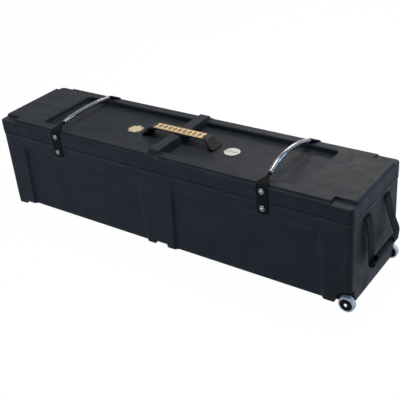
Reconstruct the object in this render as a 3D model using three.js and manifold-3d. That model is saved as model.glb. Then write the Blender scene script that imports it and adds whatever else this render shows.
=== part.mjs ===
// A long moulded hardware case for drum stands: a tub with a hinged lid, two webbing straps with
// side release buckles, a carry handle on the lid, a pull handle at each end and two corner wheels.
// Millimetres. Z is up, X runs along the case, the floor is at z = 0 and the case is centred on it.
// The webbing hinge is on the -Y side, the buckles are on the +Y side and the wheels at the +X end.

import * as THREE from 'three';
import { ConvexGeometry } from 'three/addons/geometries/ConvexGeometry.js';
import { mergeVertices } from 'three/addons/utils/BufferGeometryUtils.js';
import Module from 'manifold-3d';

const wasm = await Module();
wasm.setup();

// Overall case
const caseLength = 1350;
const caseWidth = 322;
const floorGap = 18;
const tubHeight = 279;
const lidHeight = 52;
const wall = 5;
const cornerRadius = 16;
const cornerSteps = 5;
const seatGap = 0.3;
const cutOverrun = 2;
const seam = floorGap + tubHeight;
const lidTop = seam + lidHeight;

// Tub rim, which carries the lid, and the upright lip inside the lid
const flangeProud = 1.5;
const flangeHeight = 9;
const lipWall = 4;
const lipHeight = 14;
const lipGap = 2;
const tubHalfLength = caseLength / 2 - flangeProud;
const tubHalfWidth = caseWidth / 2 - flangeProud;

// Recessed panels in the long sides, open at the underside
const panelInnerEdge = 62.5;
const panelOuterEdge = 579;
const panelDrop = 47;
const panelFlare = 10;
const panelDepth = 9;
const panelSlope = 12;

// Groove under the middle, which clears the rib of a case below
const grooveWidth = 50;
const grooveDepth = 11;

// Moulded feet under the -X corners, with a lower shoulder behind each
const footLength = 26;
const footWidth = 40;
const footToe = 5;
const footSlope = 14;
const shoulderHeight = 6;
const shoulderLength = 30;
const shoulderSlope = 20;

// Wheels in the +X corners
const wheelRadius = 25;
const wheelWidth = 20;
const wheelProud = 2.5;
const wheelInset = 14;
const tyreShoulder = 3;
const hubRadius = 19;
const hubDish = 1.5;
const axleRadius = 4;
const axleClearance = 0.3;
const axleHeadRadius = 5.5;
const axleHeadHeight = 3.5;
const pocketRadius = 39;
const pocketSideGap = 2.5;
const spacerRadius = 9;
const axleBite = 22;
const bossDepth = 28;
const bossRadius = 9;
const axleX = tubHalfLength - wheelInset;
const wheelOuterFace = tubHalfWidth + wheelProud;
const pocketInnerFace = wheelOuterFace - wheelWidth - pocketSideGap;

// Lid top
const ledgeWidth = 9;
const ledgeDrop = 6;
const endLedgeWidth = 3;
const recessLength = 1003;
const recessWidth = 240;
const recessDepth = 17;
const recessRadius = 16;
const notchLength = 66;
const notchWidth = 29;
const notchDepth = 9;
const ribTopWidth = 36;
const ribBaseWidth = 46;
const ribHeight = 13;
const ribNose = 19;
const ribEndInset = 1.5;
const ribRelief = 26;
const ribReliefDepth = 13;
const lidLedge = lidTop - ledgeDrop;
const recessFloor = lidTop - recessDepth;

// Carry handle on the lid
const handleGripLength = 224;
const handleGripWidth = 40;
const handleGripThickness = 6.5;
const handleRise = 17.2;
const handleFootSpan = 284;
const handleFootLength = 42;
const handleFootWidth = 55;
const handleFootThickness = 5;
const handleLegThickness = 11;
const inlayLength = 190;
const inlayWidth = 35;
const inlayThickness = 1.2;
const inlayDepth = 0.8;
const handleScrewRadius = 2.5;
const handleScrewSpacing = 34;
const handleScrewInset = 16;
const handleScrewBite = 4;
const screwHeadRadius = 5;
const screwHeadHeight = 3;
const screwPlateLength = 30;
const screwPlateWidth = 52;
const screwPlateThickness = 2;

// Badges on the recess floor, each at a distance from the handle's foot
const badgeRadius = 27;
const badgeThickness = 1.5;
const leftBadgeGap = 19;
const rightBadgeGap = 26;
const leftBadgeX = -(handleFootSpan / 2 + leftBadgeGap + badgeRadius);
const rightBadgeX = handleFootSpan / 2 + rightBadgeGap + badgeRadius;

// Straps over the lid
const strapX = { left: -404, right: 398 };
const tubeRise = { left: 20, right: 38 };
const webbingWidth = 38;
const webbingThickness = 2.5;
const tubeRadius = 7.5;
const tubeWall = 1.3;
const coreRadius = tubeRadius - tubeWall - seatGap * 2;
const tubeInset = 6;
const coreFront = 119;
const coreBack = 123;
const coreFrontLift = 12;
const coreBackLift = 12;
const tubeCrown = 20;
const crownShare = 0.78;
const tubeSteps = 18;
const tubeSides = 10;
const hingeWebbingEnd = 44;
const hingeWebbingGap = 0.6;

// Rivets of the straps: a domed head and washer outside, a flat washer inside
const rivetHeadRadius = 9.5;
const rivetHeadHeight = 1.6;
const rivetDomeRadius = 5.5;
const rivetDomeHeight = 2.2;
const rivetShankRadius = 2.6;
const rivetHoleGap = 0.3;
const rivetTail = 2.4;
const rivetWasherRadius = 8;
const lidRivetHeight = 33;
const tubRivetDrop = 23;
const roundSides = 16;

// Side release buckles
const buckleHalfWidth = 25;
const buckleThickness = 13;
const buckleStandOff = 7;
const socketTopDrop = 26;
const socketLength = 47;
const socketBodyLength = 31;
const socketCavityHalfWidth = 20;
const socketCavityThickness = 8;
const socketCavityDepth = 27;
const buckleBarHeight = 4.5;
const buckleBarThickness = 4;
const buckleArmThickness = 9;
const clipBaseLength = 10;
const clipProngLength = 24;
const clipProngWidth = 7;
const clipProngGap = 1.2;
const clipTongueWidth = 8;
const clipFrameLength = 26;
const clipWindowLength = 14;
const anchorRivetHeight = 102;
const anchorWebbingEnd = 12;
const anchorWebbingLength = 90;
const tailLength = 88;
const tailLap = 22;
const socketTail = 14;

// Pull handles at the ends
const pullSlotHeight = 6;
const pullSlotDrop = 25;
const pullLegSpacing = 132;
const pullWebbingWidth = 36;
const pullWebbingThickness = 3;
const pullDrop = 143;
const pullReach = 26;
const pullGripRadius = 10.5;
const pullGripSides = 16;
const pullCoreHeight = 13;
const pullCoreThickness = 4;
const pullSlotSideGap = 3;
const pullPivotGap = 0.6;
const pullInnerDrop = 26;

// Where each leg of a pull handle hangs: distance from the wall and below the slot
const pullStraightLeg = [[12, 40], [18, 95]];
const pullSlackLeg = [[10, 34], [25, 82], [35, 112]];
const pullPlateThickness = 2;
const pullPlateMargin = 5;

// Rounded tops, as shares of their height
const domeShare = 0.85;

// Colours as seen on the object
const blackPlastic = { color: 0x1c1e22, roughness: 0.55, metalness: 0 };
const darkPlastic = { color: 0x141518, roughness: 0.45, metalness: 0 };
const goldPlastic = { color: 0xd2a04a, roughness: 0.4, metalness: 0.2 };
const whitePlastic = { color: 0xe6e6e2, roughness: 0.5, metalness: 0 };
const clearPlastic = { color: 0xdfe4ea, roughness: 0.1, metalness: 0 };
const blackWebbing = { color: 0x17181a, roughness: 0.9, metalness: 0 };
const zincSteel = { color: 0xc9ccd0, roughness: 0.3, metalness: 1 };
const greyTyre = { color: 0xa9adb3, roughness: 0.7, metalness: 0 };
const blackGrip = { color: 0x202124, roughness: 0.8, metalness: 0 };

function solidOf(geometry) {
  const bare = geometry.clone();
  bare.deleteAttribute('normal');
  bare.deleteAttribute('uv');
  const merged = mergeVertices(bare);
  const triVerts = Uint32Array.from(merged.index.array);
  const vertProperties = Float32Array.from(merged.attributes.position.array);
  return new wasm.Manifold(new wasm.Mesh({ numProp: 3, vertProperties, triVerts }));
}

function geometryOf(solid) {
  const mesh = solid.getMesh();
  const geometry = new THREE.BufferGeometry();
  geometry.setAttribute('position', new THREE.BufferAttribute(mesh.vertProperties, 3));
  geometry.setIndex(new THREE.BufferAttribute(mesh.triVerts, 1));
  return geometry;
}

function join(geometries) {
  return geometryOf(geometries.map(solidOf).reduce((whole, piece) => whole.add(piece)));
}

function cut(geometry, cutters) {
  const tools = cutters.map(solidOf);
  return geometryOf(tools.reduce((whole, tool) => whole.subtract(tool), solidOf(geometry)));
}

// A box between two opposite corners
function block(first, second) {
  const size = first.map((value, axis) => Math.abs(second[axis] - value));
  const middle = first.map((value, axis) => (second[axis] + value) / 2);
  return new THREE.BoxGeometry(...size).translate(...middle);
}

function hull(points) {
  return new ConvexGeometry(points.map((point) => new THREE.Vector3(...point)));
}

// A rounded rectangle about the Z axis, from one height to another
function roundedSlab(halfLength, halfWidth, radius, low, high) {
  const shape = new THREE.Shape();
  const corners = [
    [halfLength - radius, halfWidth - radius, 0],
    [radius - halfLength, halfWidth - radius, 1],
    [radius - halfLength, radius - halfWidth, 2],
    [halfLength - radius, radius - halfWidth, 3],
  ];
  for (const [x, y, quarter] of corners) {
    const start = (quarter * Math.PI) / 2;
    shape.absarc(x, y, radius, start, start + Math.PI / 2, false);
  }
  const options = { depth: high - low, bevelEnabled: false, curveSegments: cornerSteps };
  return new THREE.ExtrudeGeometry(shape, options).translate(0, 0, low);
}

// An outline of [x, z] points carried along Y from one place to another
function crossProfile(outline, low, high) {
  const shape = new THREE.Shape(outline.map(([x, z]) => new THREE.Vector2(x, z)));
  const geometry = new THREE.ExtrudeGeometry(shape, { depth: high - low, bevelEnabled: false });
  return geometry.rotateX(Math.PI / 2).translate(0, high, 0);
}

// A flat band: its path is a list of [side, z] points, and it is carried along the other axis
function bandOutline(path, thickness) {
  const points = path.map(([side, z]) => new THREE.Vector2(side, z));
  const left = [];
  const right = [];
  points.forEach((point, index) => {
    const before = points[Math.max(index - 1, 0)];
    const after = points[Math.min(index + 1, points.length - 1)];
    const inward = point.clone().sub(before).normalize();
    const outward = after.clone().sub(point).normalize();
    const tangent = inward.add(outward).normalize();
    const step = index > 0 && index < points.length - 1 ? outward.dot(tangent) : 1;
    const normal = new THREE.Vector2(-tangent.y, tangent.x).multiplyScalar(thickness / 2 / step);
    left.push(point.clone().add(normal));
    right.unshift(point.clone().sub(normal));
  });
  return left.concat(right);
}

// A band in the YZ plane, centred on x = 0
function strapBand(path, thickness, width) {
  const outline = bandOutline(path, thickness);
  const shape = new THREE.Shape(outline);
  const geometry = new THREE.ExtrudeGeometry(shape, { depth: width, bevelEnabled: false });
  const turn = new THREE.Matrix4().set(0, 0, 1, -width / 2, 1, 0, 0, 0, 0, 1, 0, 0, 0, 0, 0, 1);
  return geometry.applyMatrix4(turn);
}

// A band in the XZ plane, centred on a given y
function endBand(path, thickness, width, y) {
  const outline = bandOutline(path, thickness).map((point) => [point.x, point.y]);
  return crossProfile(outline, y - width / 2, y + width / 2);
}

// A turned piece about the Y axis: its profile holds [radius, y] points and closes on itself
function turned(profile, sides) {
  const points = profile.concat([profile[0]]).map(([radius, y]) => new THREE.Vector2(radius, y));
  return new THREE.LatheGeometry(points, sides);
}

function roundBar(radius, low, high, sides) {
  const bar = new THREE.CylinderGeometry(radius, radius, high - low, sides);
  return bar.translate(0, (low + high) / 2, 0);
}

function piece(name, geometry, look) {
  const mesh = new THREE.Mesh(geometry, new THREE.MeshStandardMaterial(look));
  mesh.name = name;
  return mesh;
}

// Tub

// One recessed panel: side is -1 or 1 along Y, end is -1 or 1 along X
function panelSolid(side, end, grow) {
  const outerFace = tubHalfWidth + cutOverrun;
  const innerFace = tubHalfWidth - panelDepth - grow;
  const top = seam - panelDrop + grow;
  const bottom = floorGap - cutOverrun;
  const outerInset = (-panelSlope * cutOverrun) / panelDepth;
  const points = [];
  for (const [face, inset] of [[outerFace, outerInset], [innerFace, panelSlope]]) {
    const near = panelInnerEdge + inset - grow;
    const far = panelOuterEdge - inset + grow;
    points.push([end * (near - panelFlare), side * face, bottom]);
    points.push([end * (far + panelFlare), side * face, bottom]);
    points.push([end * near, side * face, top - inset]);
    points.push([end * far, side * face, top - inset]);
  }
  return hull(points);
}

// The arch over a wheel, open to the side, the end and below
function pocketSolid(side, grow) {
  const radius = pocketRadius + grow;
  const arch = new THREE.Shape();
  const left = axleX - radius;
  const end = tubHalfLength + cutOverrun;
  const bottom = floorGap - cutOverrun;
  arch.moveTo(left, bottom);
  arch.lineTo(left, wheelRadius);
  arch.absarc(axleX, wheelRadius, radius, Math.PI, Math.PI / 2, true);
  arch.lineTo(end, wheelRadius + radius);
  arch.lineTo(end, bottom);
  const outline = arch.getPoints(cornerSteps * 2).map((point) => [point.x, point.y]);
  const inner = pocketInnerFace - grow;
  const outer = tubHalfWidth + cutOverrun;
  return side > 0 ? crossProfile(outline, inner, outer) : crossProfile(outline, -outer, -inner);
}

function grooveSolid(grow) {
  const half = grooveWidth / 2 + grow;
  const reach = tubHalfWidth + cutOverrun;
  return block([-half, -reach, floorGap - cutOverrun], [half, reach, floorGap + grooveDepth + grow]);
}

function footSolid(side) {
  const end = -tubHalfLength;
  const sunk = floorGap + wall / 2;
  const footEnd = end + footToe + footLength;
  const shoulderStart = footEnd + footSlope;
  const shoulderEnd = shoulderStart + shoulderLength;
  const shoulder = floorGap - shoulderHeight;
  const outline = [
    [end + footToe, 0],
    [footEnd, 0],
    [shoulderStart, shoulder],
    [shoulderEnd, shoulder],
    [shoulderEnd + shoulderSlope, floorGap],
    [shoulderEnd + shoulderSlope, sunk],
    [end + cornerRadius / 2, sunk],
    [end + cornerRadius / 2, floorGap],
    [end + footToe / 2, floorGap / 2],
  ];
  const outer = tubHalfWidth - cornerRadius / 2;
  const inner = outer - footWidth;
  return side > 0 ? crossProfile(outline, inner, outer) : crossProfile(outline, -outer, -inner);
}

function mirrored(geometry, side) {
  return side > 0 ? geometry : geometry.rotateZ(Math.PI);
}

function tubGeometry() {
  const body = roundedSlab(tubHalfLength, tubHalfWidth, cornerRadius, floorGap, seam);
  const flangeLow = seam - flangeHeight;
  const flange = roundedSlab(caseLength / 2, caseWidth / 2, cornerRadius + flangeProud, flangeLow, seam);
  const lipInset = wall + lipGap;
  const lipHalfLength = caseLength / 2 - lipInset;
  const lipHalfWidth = caseWidth / 2 - lipInset;
  const lip = roundedSlab(lipHalfLength, lipHalfWidth, cornerRadius - wall, seam - wall, seam + lipHeight);
  const outside = join([body, flange, lip, footSolid(1), footSolid(-1)]);

  const insideHalfLength = tubHalfLength - wall;
  const insideHalfWidth = tubHalfWidth - wall;
  const insideRadius = cornerRadius - wall;
  const mouth = roundedSlab(lipHalfLength - lipWall, lipHalfWidth - lipWall, insideRadius - lipWall,
    seam - wall * 2, seam + lipHeight + cutOverrun);
  const room = roundedSlab(insideHalfLength, insideHalfWidth, insideRadius, floorGap + wall, seam - wall);
  const inside = join([mouth, room]);
  const keep = [grooveSolid(wall)];
  const cuts = [grooveSolid(0)];
  for (const side of [-1, 1]) {
    keep.push(pocketSolid(side, wall), bossSolid(side));
    cuts.push(pocketSolid(side, 0));
    for (const end of [-1, 1]) {
      keep.push(panelSolid(side, end, wall));
      cuts.push(panelSolid(side, end, 0));
    }
    cuts.push(axleHole(side));
    for (const x of Object.values(strapX)) {
      const height = side < 0 ? seam - tubRivetDrop : floorGap + anchorRivetHeight;
      const hole = roundBar(rivetShankRadius + rivetHoleGap, insideHalfWidth - panelDepth * 2,
        caseWidth / 2 + cutOverrun, roundSides);
      cuts.push(mirrored(hole, side).translate(x, 0, height));
    }
    for (const end of [-1, 1]) {
      const slotHalf = pullWebbingWidth / 2 + pullSlotSideGap;
      const slotY = (side * pullLegSpacing) / 2;
      const slotZ = seam - pullSlotDrop;
      cuts.push(block([end * (insideHalfLength - cutOverrun), slotY - slotHalf, slotZ - pullSlotHeight / 2],
        [end * (tubHalfLength + cutOverrun), slotY + slotHalf, slotZ + pullSlotHeight / 2]));
    }
  }
  return cut(cut(outside, [cut(inside, keep)]), cuts);
}

// The solid block behind a wheel, which the axle screws into
function bossSolid(side) {
  const inner = pocketInnerFace - bossDepth;
  const near = [axleX - bossRadius, side * inner, floorGap];
  const far = [tubHalfLength, side * pocketInnerFace, wheelRadius + bossRadius];
  return block(near, far);
}

function axleHole(side) {
  const low = pocketInnerFace - axleBite - axleClearance;
  const hole = roundBar(axleRadius + axleClearance, low, pocketInnerFace + cutOverrun, roundSides);
  return mirrored(hole, side).translate(axleX, 0, wheelRadius);
}

// Lid

function ribSolid(grow) {
  const top = lidTop + ribHeight - grow;
  const low = recessFloor - grow * 2;
  const reach = caseWidth / 2 - ribEndInset - grow * 2;
  const topHalf = ribTopWidth / 2 - grow;
  const baseHalf = ribBaseWidth / 2 - grow;
  const points = [];
  for (const x of [-1, 1]) {
    for (const y of [-1, 1]) {
      points.push([x * topHalf, y * (reach - ribNose), top]);
      points.push([x * baseHalf, y * reach, low]);
    }
  }
  const relief = block([-baseHalf - cutOverrun, -ribRelief - grow, top - ribReliefDepth],
    [baseHalf + cutOverrun, ribRelief + grow, top + cutOverrun]);
  return cut(hull(points), [relief]);
}

// A stacking notch in one corner of the lid top: x and y are -1 or 1
function notchSolid(x, y, grow) {
  const outerX = x * (caseLength / 2 + cutOverrun);
  const outerY = y * (caseWidth / 2 + cutOverrun);
  const innerX = x * (caseLength / 2 - endLedgeWidth - notchLength - grow);
  const innerY = y * (caseWidth / 2 - ledgeWidth - notchWidth - grow);
  return block([outerX, outerY, lidTop - notchDepth - grow], [innerX, innerY, lidTop + cutOverrun]);
}

function lidGeometry() {
  const halfLength = caseLength / 2;
  const halfWidth = caseWidth / 2;
  const low = seam + seatGap;
  const skirt = roundedSlab(halfLength, halfWidth, cornerRadius, low, lidLedge);
  const plateauHalfLength = halfLength - endLedgeWidth;
  const plateauHalfWidth = halfWidth - ledgeWidth;
  const plateau = roundedSlab(plateauHalfLength, plateauHalfWidth, cornerRadius, lidLedge - wall, lidTop);
  const recessHalfLength = recessLength / 2;
  const recessHalfWidth = recessWidth / 2;
  const above = lidTop + cutOverrun;
  const recess = roundedSlab(recessHalfLength, recessHalfWidth, recessRadius, recessFloor, above);
  const insideRadius = cornerRadius - wall;
  const below = seam - cutOverrun;
  const inside = join([
    roundedSlab(halfLength - wall, halfWidth - wall, insideRadius, below, lidLedge - wall),
    roundedSlab(plateauHalfLength - wall, plateauHalfWidth - wall, insideRadius, below, lidTop - wall),
  ]);
  const dish = roundedSlab(recessHalfLength + wall, recessHalfWidth + wall, recessRadius + wall,
    recessFloor - wall, above);
  const keep = [dish];
  const notches = [];
  for (const x of [-1, 1]) {
    for (const y of [-1, 1]) {
      notches.push(notchSolid(x, y, 0));
      keep.push(notchSolid(x, y, wall));
    }
  }
  const shell = cut(join([skirt, plateau]), [recess, ...notches, cut(inside, keep)]);
  const holes = [];
  for (const x of Object.values(strapX)) {
    for (const side of [-1, 1]) {
      const hole = roundBar(rivetShankRadius + rivetHoleGap, halfWidth - wall - cutOverrun,
        halfWidth + cutOverrun, roundSides);
      holes.push(mirrored(hole, side).translate(x, 0, seam + lidRivetHeight));
    }
  }
  for (const [x, y] of handleScrewPlaces()) {
    const hole = roundBar(handleScrewRadius + rivetHoleGap, recessFloor - wall - cutOverrun,
      recessFloor + cutOverrun, roundSides);
    holes.push(hole.rotateX(Math.PI / 2).translate(x, y, 0));
  }
  return cut(join([shell, ribSolid(0)]), [ribSolid(wall), ...holes]);
}

// Carry handle

function handleScrewPlaces() {
  const places = [];
  for (const end of [-1, 1]) {
    for (const side of [-1, 1]) {
      places.push([end * (handleFootSpan / 2 - handleScrewInset), (side * handleScrewSpacing) / 2]);
    }
  }
  return places;
}

function handleGeometry() {
  const top = lidTop + handleRise;
  const under = top - handleGripThickness;
  const footLow = recessFloor + seatGap;
  const footHigh = footLow + handleFootThickness;
  const gripHalf = handleGripLength / 2;
  const footEnd = handleFootSpan / 2;
  const footStart = footEnd - handleFootLength;
  const halfWidth = handleGripWidth / 2;
  const footHalf = handleFootWidth / 2;
  const solids = [block([-gripHalf, -halfWidth, under], [gripHalf, halfWidth, top])];
  for (const end of [-1, 1]) {
    const leg = [];
    for (const side of [-1, 1]) {
      leg.push([end * gripHalf, side * halfWidth, top]);
      leg.push([end * (gripHalf - handleLegThickness), side * halfWidth, top]);
      leg.push([end * (gripHalf - handleLegThickness), side * halfWidth, under]);
      leg.push([end * footEnd, side * footHalf, footHigh]);
      leg.push([end * (footEnd - handleLegThickness * 2), side * footHalf, footHigh - seatGap]);
    }
    solids.push(hull(leg));
    solids.push(block([end * footStart, -footHalf, footLow], [end * footEnd, footHalf, footHigh]));
  }
  const inlaySeat = block([-inlayLength / 2 - seatGap, -inlayWidth / 2 - seatGap, top - inlayDepth],
    [inlayLength / 2 + seatGap, inlayWidth / 2 + seatGap, top + cutOverrun]);
  const holes = handleScrewPlaces().map(([x, y]) => {
    const hole = roundBar(handleScrewRadius + rivetHoleGap, footLow - cutOverrun,
      footLow + handleScrewBite + seatGap, roundSides);
    return hole.rotateX(Math.PI / 2).translate(x, y, 0);
  });
  return cut(join(solids), [inlaySeat, ...holes]);
}

function inlayGeometry() {
  const low = lidTop + handleRise - inlayDepth + seatGap;
  const halfLength = inlayLength / 2;
  const halfWidth = inlayWidth / 2;
  return block([-halfLength, -halfWidth, low], [halfLength, halfWidth, low + inlayThickness]);
}

// The fixing of one foot: a plate inside the lid with two studs up into the foot
function handleFixingGeometry(end) {
  const middle = end * (handleFootSpan / 2 - handleScrewInset);
  const high = recessFloor - wall - seatGap;
  const plateLow = high - screwPlateThickness;
  const halfLength = screwPlateLength / 2;
  const halfWidth = screwPlateWidth / 2;
  const solids = [
    block([middle - halfLength, -halfWidth, plateLow], [middle + halfLength, halfWidth, high]),
  ];
  for (const side of [-1, 1]) {
    const start = high - screwPlateThickness / 2;
    const stud = roundBar(handleScrewRadius, start, recessFloor + handleScrewBite, roundSides);
    const head = roundBar(screwHeadRadius, plateLow - screwHeadHeight, start, roundSides);
    const y = (side * handleScrewSpacing) / 2;
    solids.push(join([stud, head]).rotateX(Math.PI / 2).translate(middle, y, 0));
  }
  return join(solids);
}

function badgeGeometry(x) {
  const low = recessFloor + seatGap;
  const disc = roundBar(badgeRadius, low, low + badgeThickness, roundSides * 2);
  return disc.rotateX(Math.PI / 2).translate(x, 0, 0);
}

// Straps

// A rivet about the Y axis through a wall: outside is where its washer rests, inside the wall's inner face
function rivetGeometry(outside, inside) {
  const seat = outside + seatGap;
  const headTop = seat + rivetHeadHeight;
  const profile = [
    [0, inside - rivetTail],
    [rivetShankRadius, inside - rivetTail],
    [rivetShankRadius, seat],
    [rivetHeadRadius, seat],
    [rivetHeadRadius - seatGap, headTop],
    [rivetDomeRadius, headTop],
    [rivetDomeRadius * Math.SQRT1_2, headTop + rivetDomeHeight * domeShare],
    [0, headTop + rivetDomeHeight],
  ];
  return new THREE.LatheGeometry(profile.map(([radius, y]) => new THREE.Vector2(radius, y)), roundSides);
}

function ringGeometry(outer, inner, low, high, sides) {
  return turned([[inner, low], [outer, low], [outer, high], [inner, high]], sides);
}

function archCurve(rise) {
  const frontShoulder = coreFrontLift + (rise - coreFrontLift) * crownShare;
  const backShoulder = coreBackLift + (rise - coreBackLift) * crownShare;
  return new THREE.CatmullRomCurve3([
    new THREE.Vector3(0, -coreFront, lidTop + coreFrontLift),
    new THREE.Vector3(0, (-coreFront - tubeCrown) / 2, lidTop + frontShoulder),
    new THREE.Vector3(0, -tubeCrown, lidTop + rise),
    new THREE.Vector3(0, (coreBack - tubeCrown) / 2, lidTop + backShoulder),
    new THREE.Vector3(0, coreBack, lidTop + coreBackLift),
  ]);
}

// The clear tube covers the gathered webbing except for a short stretch at each end
function tubeCurve(rise) {
  const arch = archCurve(rise);
  const inset = tubeInset / arch.getLength();
  const points = [];
  for (let step = 0; step <= tubeSteps; step += 1) {
    points.push(arch.getPointAt(inset + ((1 - inset * 2) * step) / tubeSteps));
  }
  return new THREE.CatmullRomCurve3(points);
}

function circleShape(radius) {
  const shape = new THREE.Shape();
  shape.absarc(0, 0, radius, 0, Math.PI * 2, false);
  return shape;
}

function tubeGeometry(rise) {
  const shape = circleShape(tubeRadius);
  shape.holes.push(new THREE.Path(circleShape(tubeRadius - tubeWall).getPoints(tubeSides).reverse()));
  const options = { steps: tubeSteps, extrudePath: tubeCurve(rise), curveSegments: tubeSides };
  return new THREE.ExtrudeGeometry(shape, options);
}

// The gathered webbing between a flat end and the tube: side is -1 in front and 1 behind
function neckGeometry(side) {
  const reach = side < 0 ? coreFront : coreBack;
  const lift = side < 0 ? coreFrontLift : coreBackLift;
  const half = webbingWidth / 2;
  const flatY = caseWidth / 2 - ledgeWidth;
  const low = lidTop + seatGap;
  const points = [];
  for (const x of [-half, half]) {
    for (const z of [low, low + webbingThickness]) {
      points.push([x, side * flatY, z]);
      points.push([x, side * (flatY - webbingThickness), z]);
    }
  }
  const core = coreRadius * Math.SQRT1_2;
  for (const x of [-core, core]) {
    for (const z of [-core, core]) {
      points.push([x, side * (reach - webbingThickness / 2), lidTop + lift + z]);
      points.push([x, side * reach, lidTop + lift + z]);
    }
  }
  return hull(points);
}

// The flat end beside the lid: up from a given height to the rim, then over onto the lid top
function rimBand(side, low) {
  const beside = caseWidth / 2 + seatGap + webbingThickness / 2;
  const above = lidTop + seatGap + webbingThickness / 2;
  const path = [
    [side * beside, low],
    [side * beside, lidLedge + webbingThickness / 2],
    [side * (caseWidth / 2 - ledgeWidth + seatGap), above],
    [side * (caseWidth / 2 - ledgeWidth - webbingThickness), above],
  ];
  return strapBand(path, webbingThickness, webbingWidth);
}

function lidWebbingGeometry(rise) {
  const core = circleShape(coreRadius);
  const options = { steps: tubeSteps, extrudePath: archCurve(rise), curveSegments: tubeSides / 2 };
  const socketBar = seam - socketTopDrop - buckleBarHeight;
  const beside = caseWidth / 2 + seatGap + webbingThickness / 2;
  const front = buckleMiddle() + buckleBarThickness / 2 + seatGap * 2 + webbingThickness / 2;
  const loopRadius = (front - beside) / 2;
  const loop = [[beside, lidLedge]];
  for (let step = 0; step <= cornerSteps * 2; step += 1) {
    const angle = Math.PI + (Math.PI * step) / (cornerSteps * 2);
    const across = loopRadius + loopRadius * Math.cos(angle);
    loop.push([beside + across, socketBar + loopRadius * Math.sin(angle)]);
  }
  loop.push([front, socketBar + socketTail]);
  const holes = [-1, 1].map((side) => {
    const hole = roundBar(rivetShankRadius + rivetHoleGap, caseWidth / 2 - cutOverrun,
      caseWidth / 2 + webbingThickness + cutOverrun, roundSides);
    return mirrored(hole, side).translate(0, 0, seam + lidRivetHeight);
  });
  const whole = join([
    rimBand(-1, seam + hingeWebbingGap / 2 + seatGap),
    neckGeometry(-1),
    new THREE.ExtrudeGeometry(core, options),
    neckGeometry(1),
    rimBand(1, lidLedge - webbingThickness),
    strapBand(loop, webbingThickness, webbingWidth),
  ]);
  return cut(whole, holes);
}

function hingeWebbingGeometry() {
  const outer = -caseWidth / 2 - seatGap;
  const high = seam - hingeWebbingGap / 2;
  const half = webbingWidth / 2;
  const band = block([-half, outer - webbingThickness, seam - hingeWebbingEnd], [half, outer, high]);
  const hole = roundBar(rivetShankRadius + rivetHoleGap, caseWidth / 2 - cutOverrun,
    caseWidth / 2 + webbingThickness + cutOverrun, roundSides);
  return cut(band, [mirrored(hole, -1).translate(0, 0, seam - tubRivetDrop)]);
}

// Buckles

function buckleMiddle() {
  return caseWidth / 2 + buckleStandOff;
}

function socketGeometry() {
  const middle = buckleMiddle();
  const half = buckleThickness / 2;
  const top = seam - socketTopDrop;
  const bottom = top - socketLength;
  const bodyTop = bottom + socketBodyLength;
  const armHalf = buckleArmThickness / 2;
  const barHalf = buckleBarThickness / 2;
  const body = block([-buckleHalfWidth, middle - half, bottom], [buckleHalfWidth, middle + half, bodyTop]);
  const solids = [body];
  for (const side of [-1, 1]) {
    solids.push(block([side * socketCavityHalfWidth, middle - armHalf, bodyTop - seatGap],
      [side * buckleHalfWidth, middle + armHalf, top]));
  }
  solids.push(block([-buckleHalfWidth + seatGap, middle - barHalf, top - buckleBarHeight],
    [buckleHalfWidth - seatGap, middle + barHalf, top]));
  const cavity = block([-socketCavityHalfWidth, middle - socketCavityThickness / 2, bottom - cutOverrun],
    [socketCavityHalfWidth, middle + socketCavityThickness / 2, bottom + socketCavityDepth]);
  return cut(join(solids), [cavity]);
}

function clipGeometry() {
  const middle = buckleMiddle();
  const half = buckleThickness / 2;
  const mouth = seam - socketTopDrop - socketLength;
  const baseTop = mouth - seatGap;
  const baseLow = baseTop - clipBaseLength;
  const frameLow = baseLow - clipFrameLength;
  const prongTop = baseTop + clipProngLength;
  const prongHalf = socketCavityThickness / 2 - clipProngGap;
  const armHalf = buckleArmThickness / 2;
  const solids = [
    block([-buckleHalfWidth, middle - half, baseLow], [buckleHalfWidth, middle + half, baseTop]),
    block([-clipTongueWidth / 2, middle - prongHalf, baseTop - seatGap],
      [clipTongueWidth / 2, middle + prongHalf, prongTop]),
  ];
  for (const side of [-1, 1]) {
    const outer = socketCavityHalfWidth - clipProngGap;
    solids.push(block([side * (outer - clipProngWidth), middle - prongHalf, baseTop - seatGap],
      [side * outer, middle + prongHalf, prongTop]));
  }
  const frame = block([-buckleHalfWidth, middle - armHalf, frameLow],
    [buckleHalfWidth, middle + armHalf, baseLow + seatGap]);
  const window = block([-socketCavityHalfWidth, middle - half, frameLow + buckleBarHeight],
    [socketCavityHalfWidth, middle + half, frameLow + buckleBarHeight + clipWindowLength]);
  solids.push(cut(frame, [window]));
  return join(solids);
}

// The short webbing riveted to the recessed panel behind the buckle
function anchorWebbingGeometry() {
  const inner = tubHalfWidth - panelDepth + seatGap;
  const outer = inner + webbingThickness;
  const low = floorGap + anchorRivetHeight - anchorWebbingEnd;
  const half = webbingWidth / 2;
  const band = block([-half, inner, low], [half, outer, low + anchorWebbingLength]);
  const holeRadius = rivetShankRadius + rivetHoleGap;
  const hole = roundBar(holeRadius, inner - cutOverrun, outer + cutOverrun, roundSides);
  return cut(band, [hole.translate(0, 0, floorGap + anchorRivetHeight)]);
}

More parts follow.
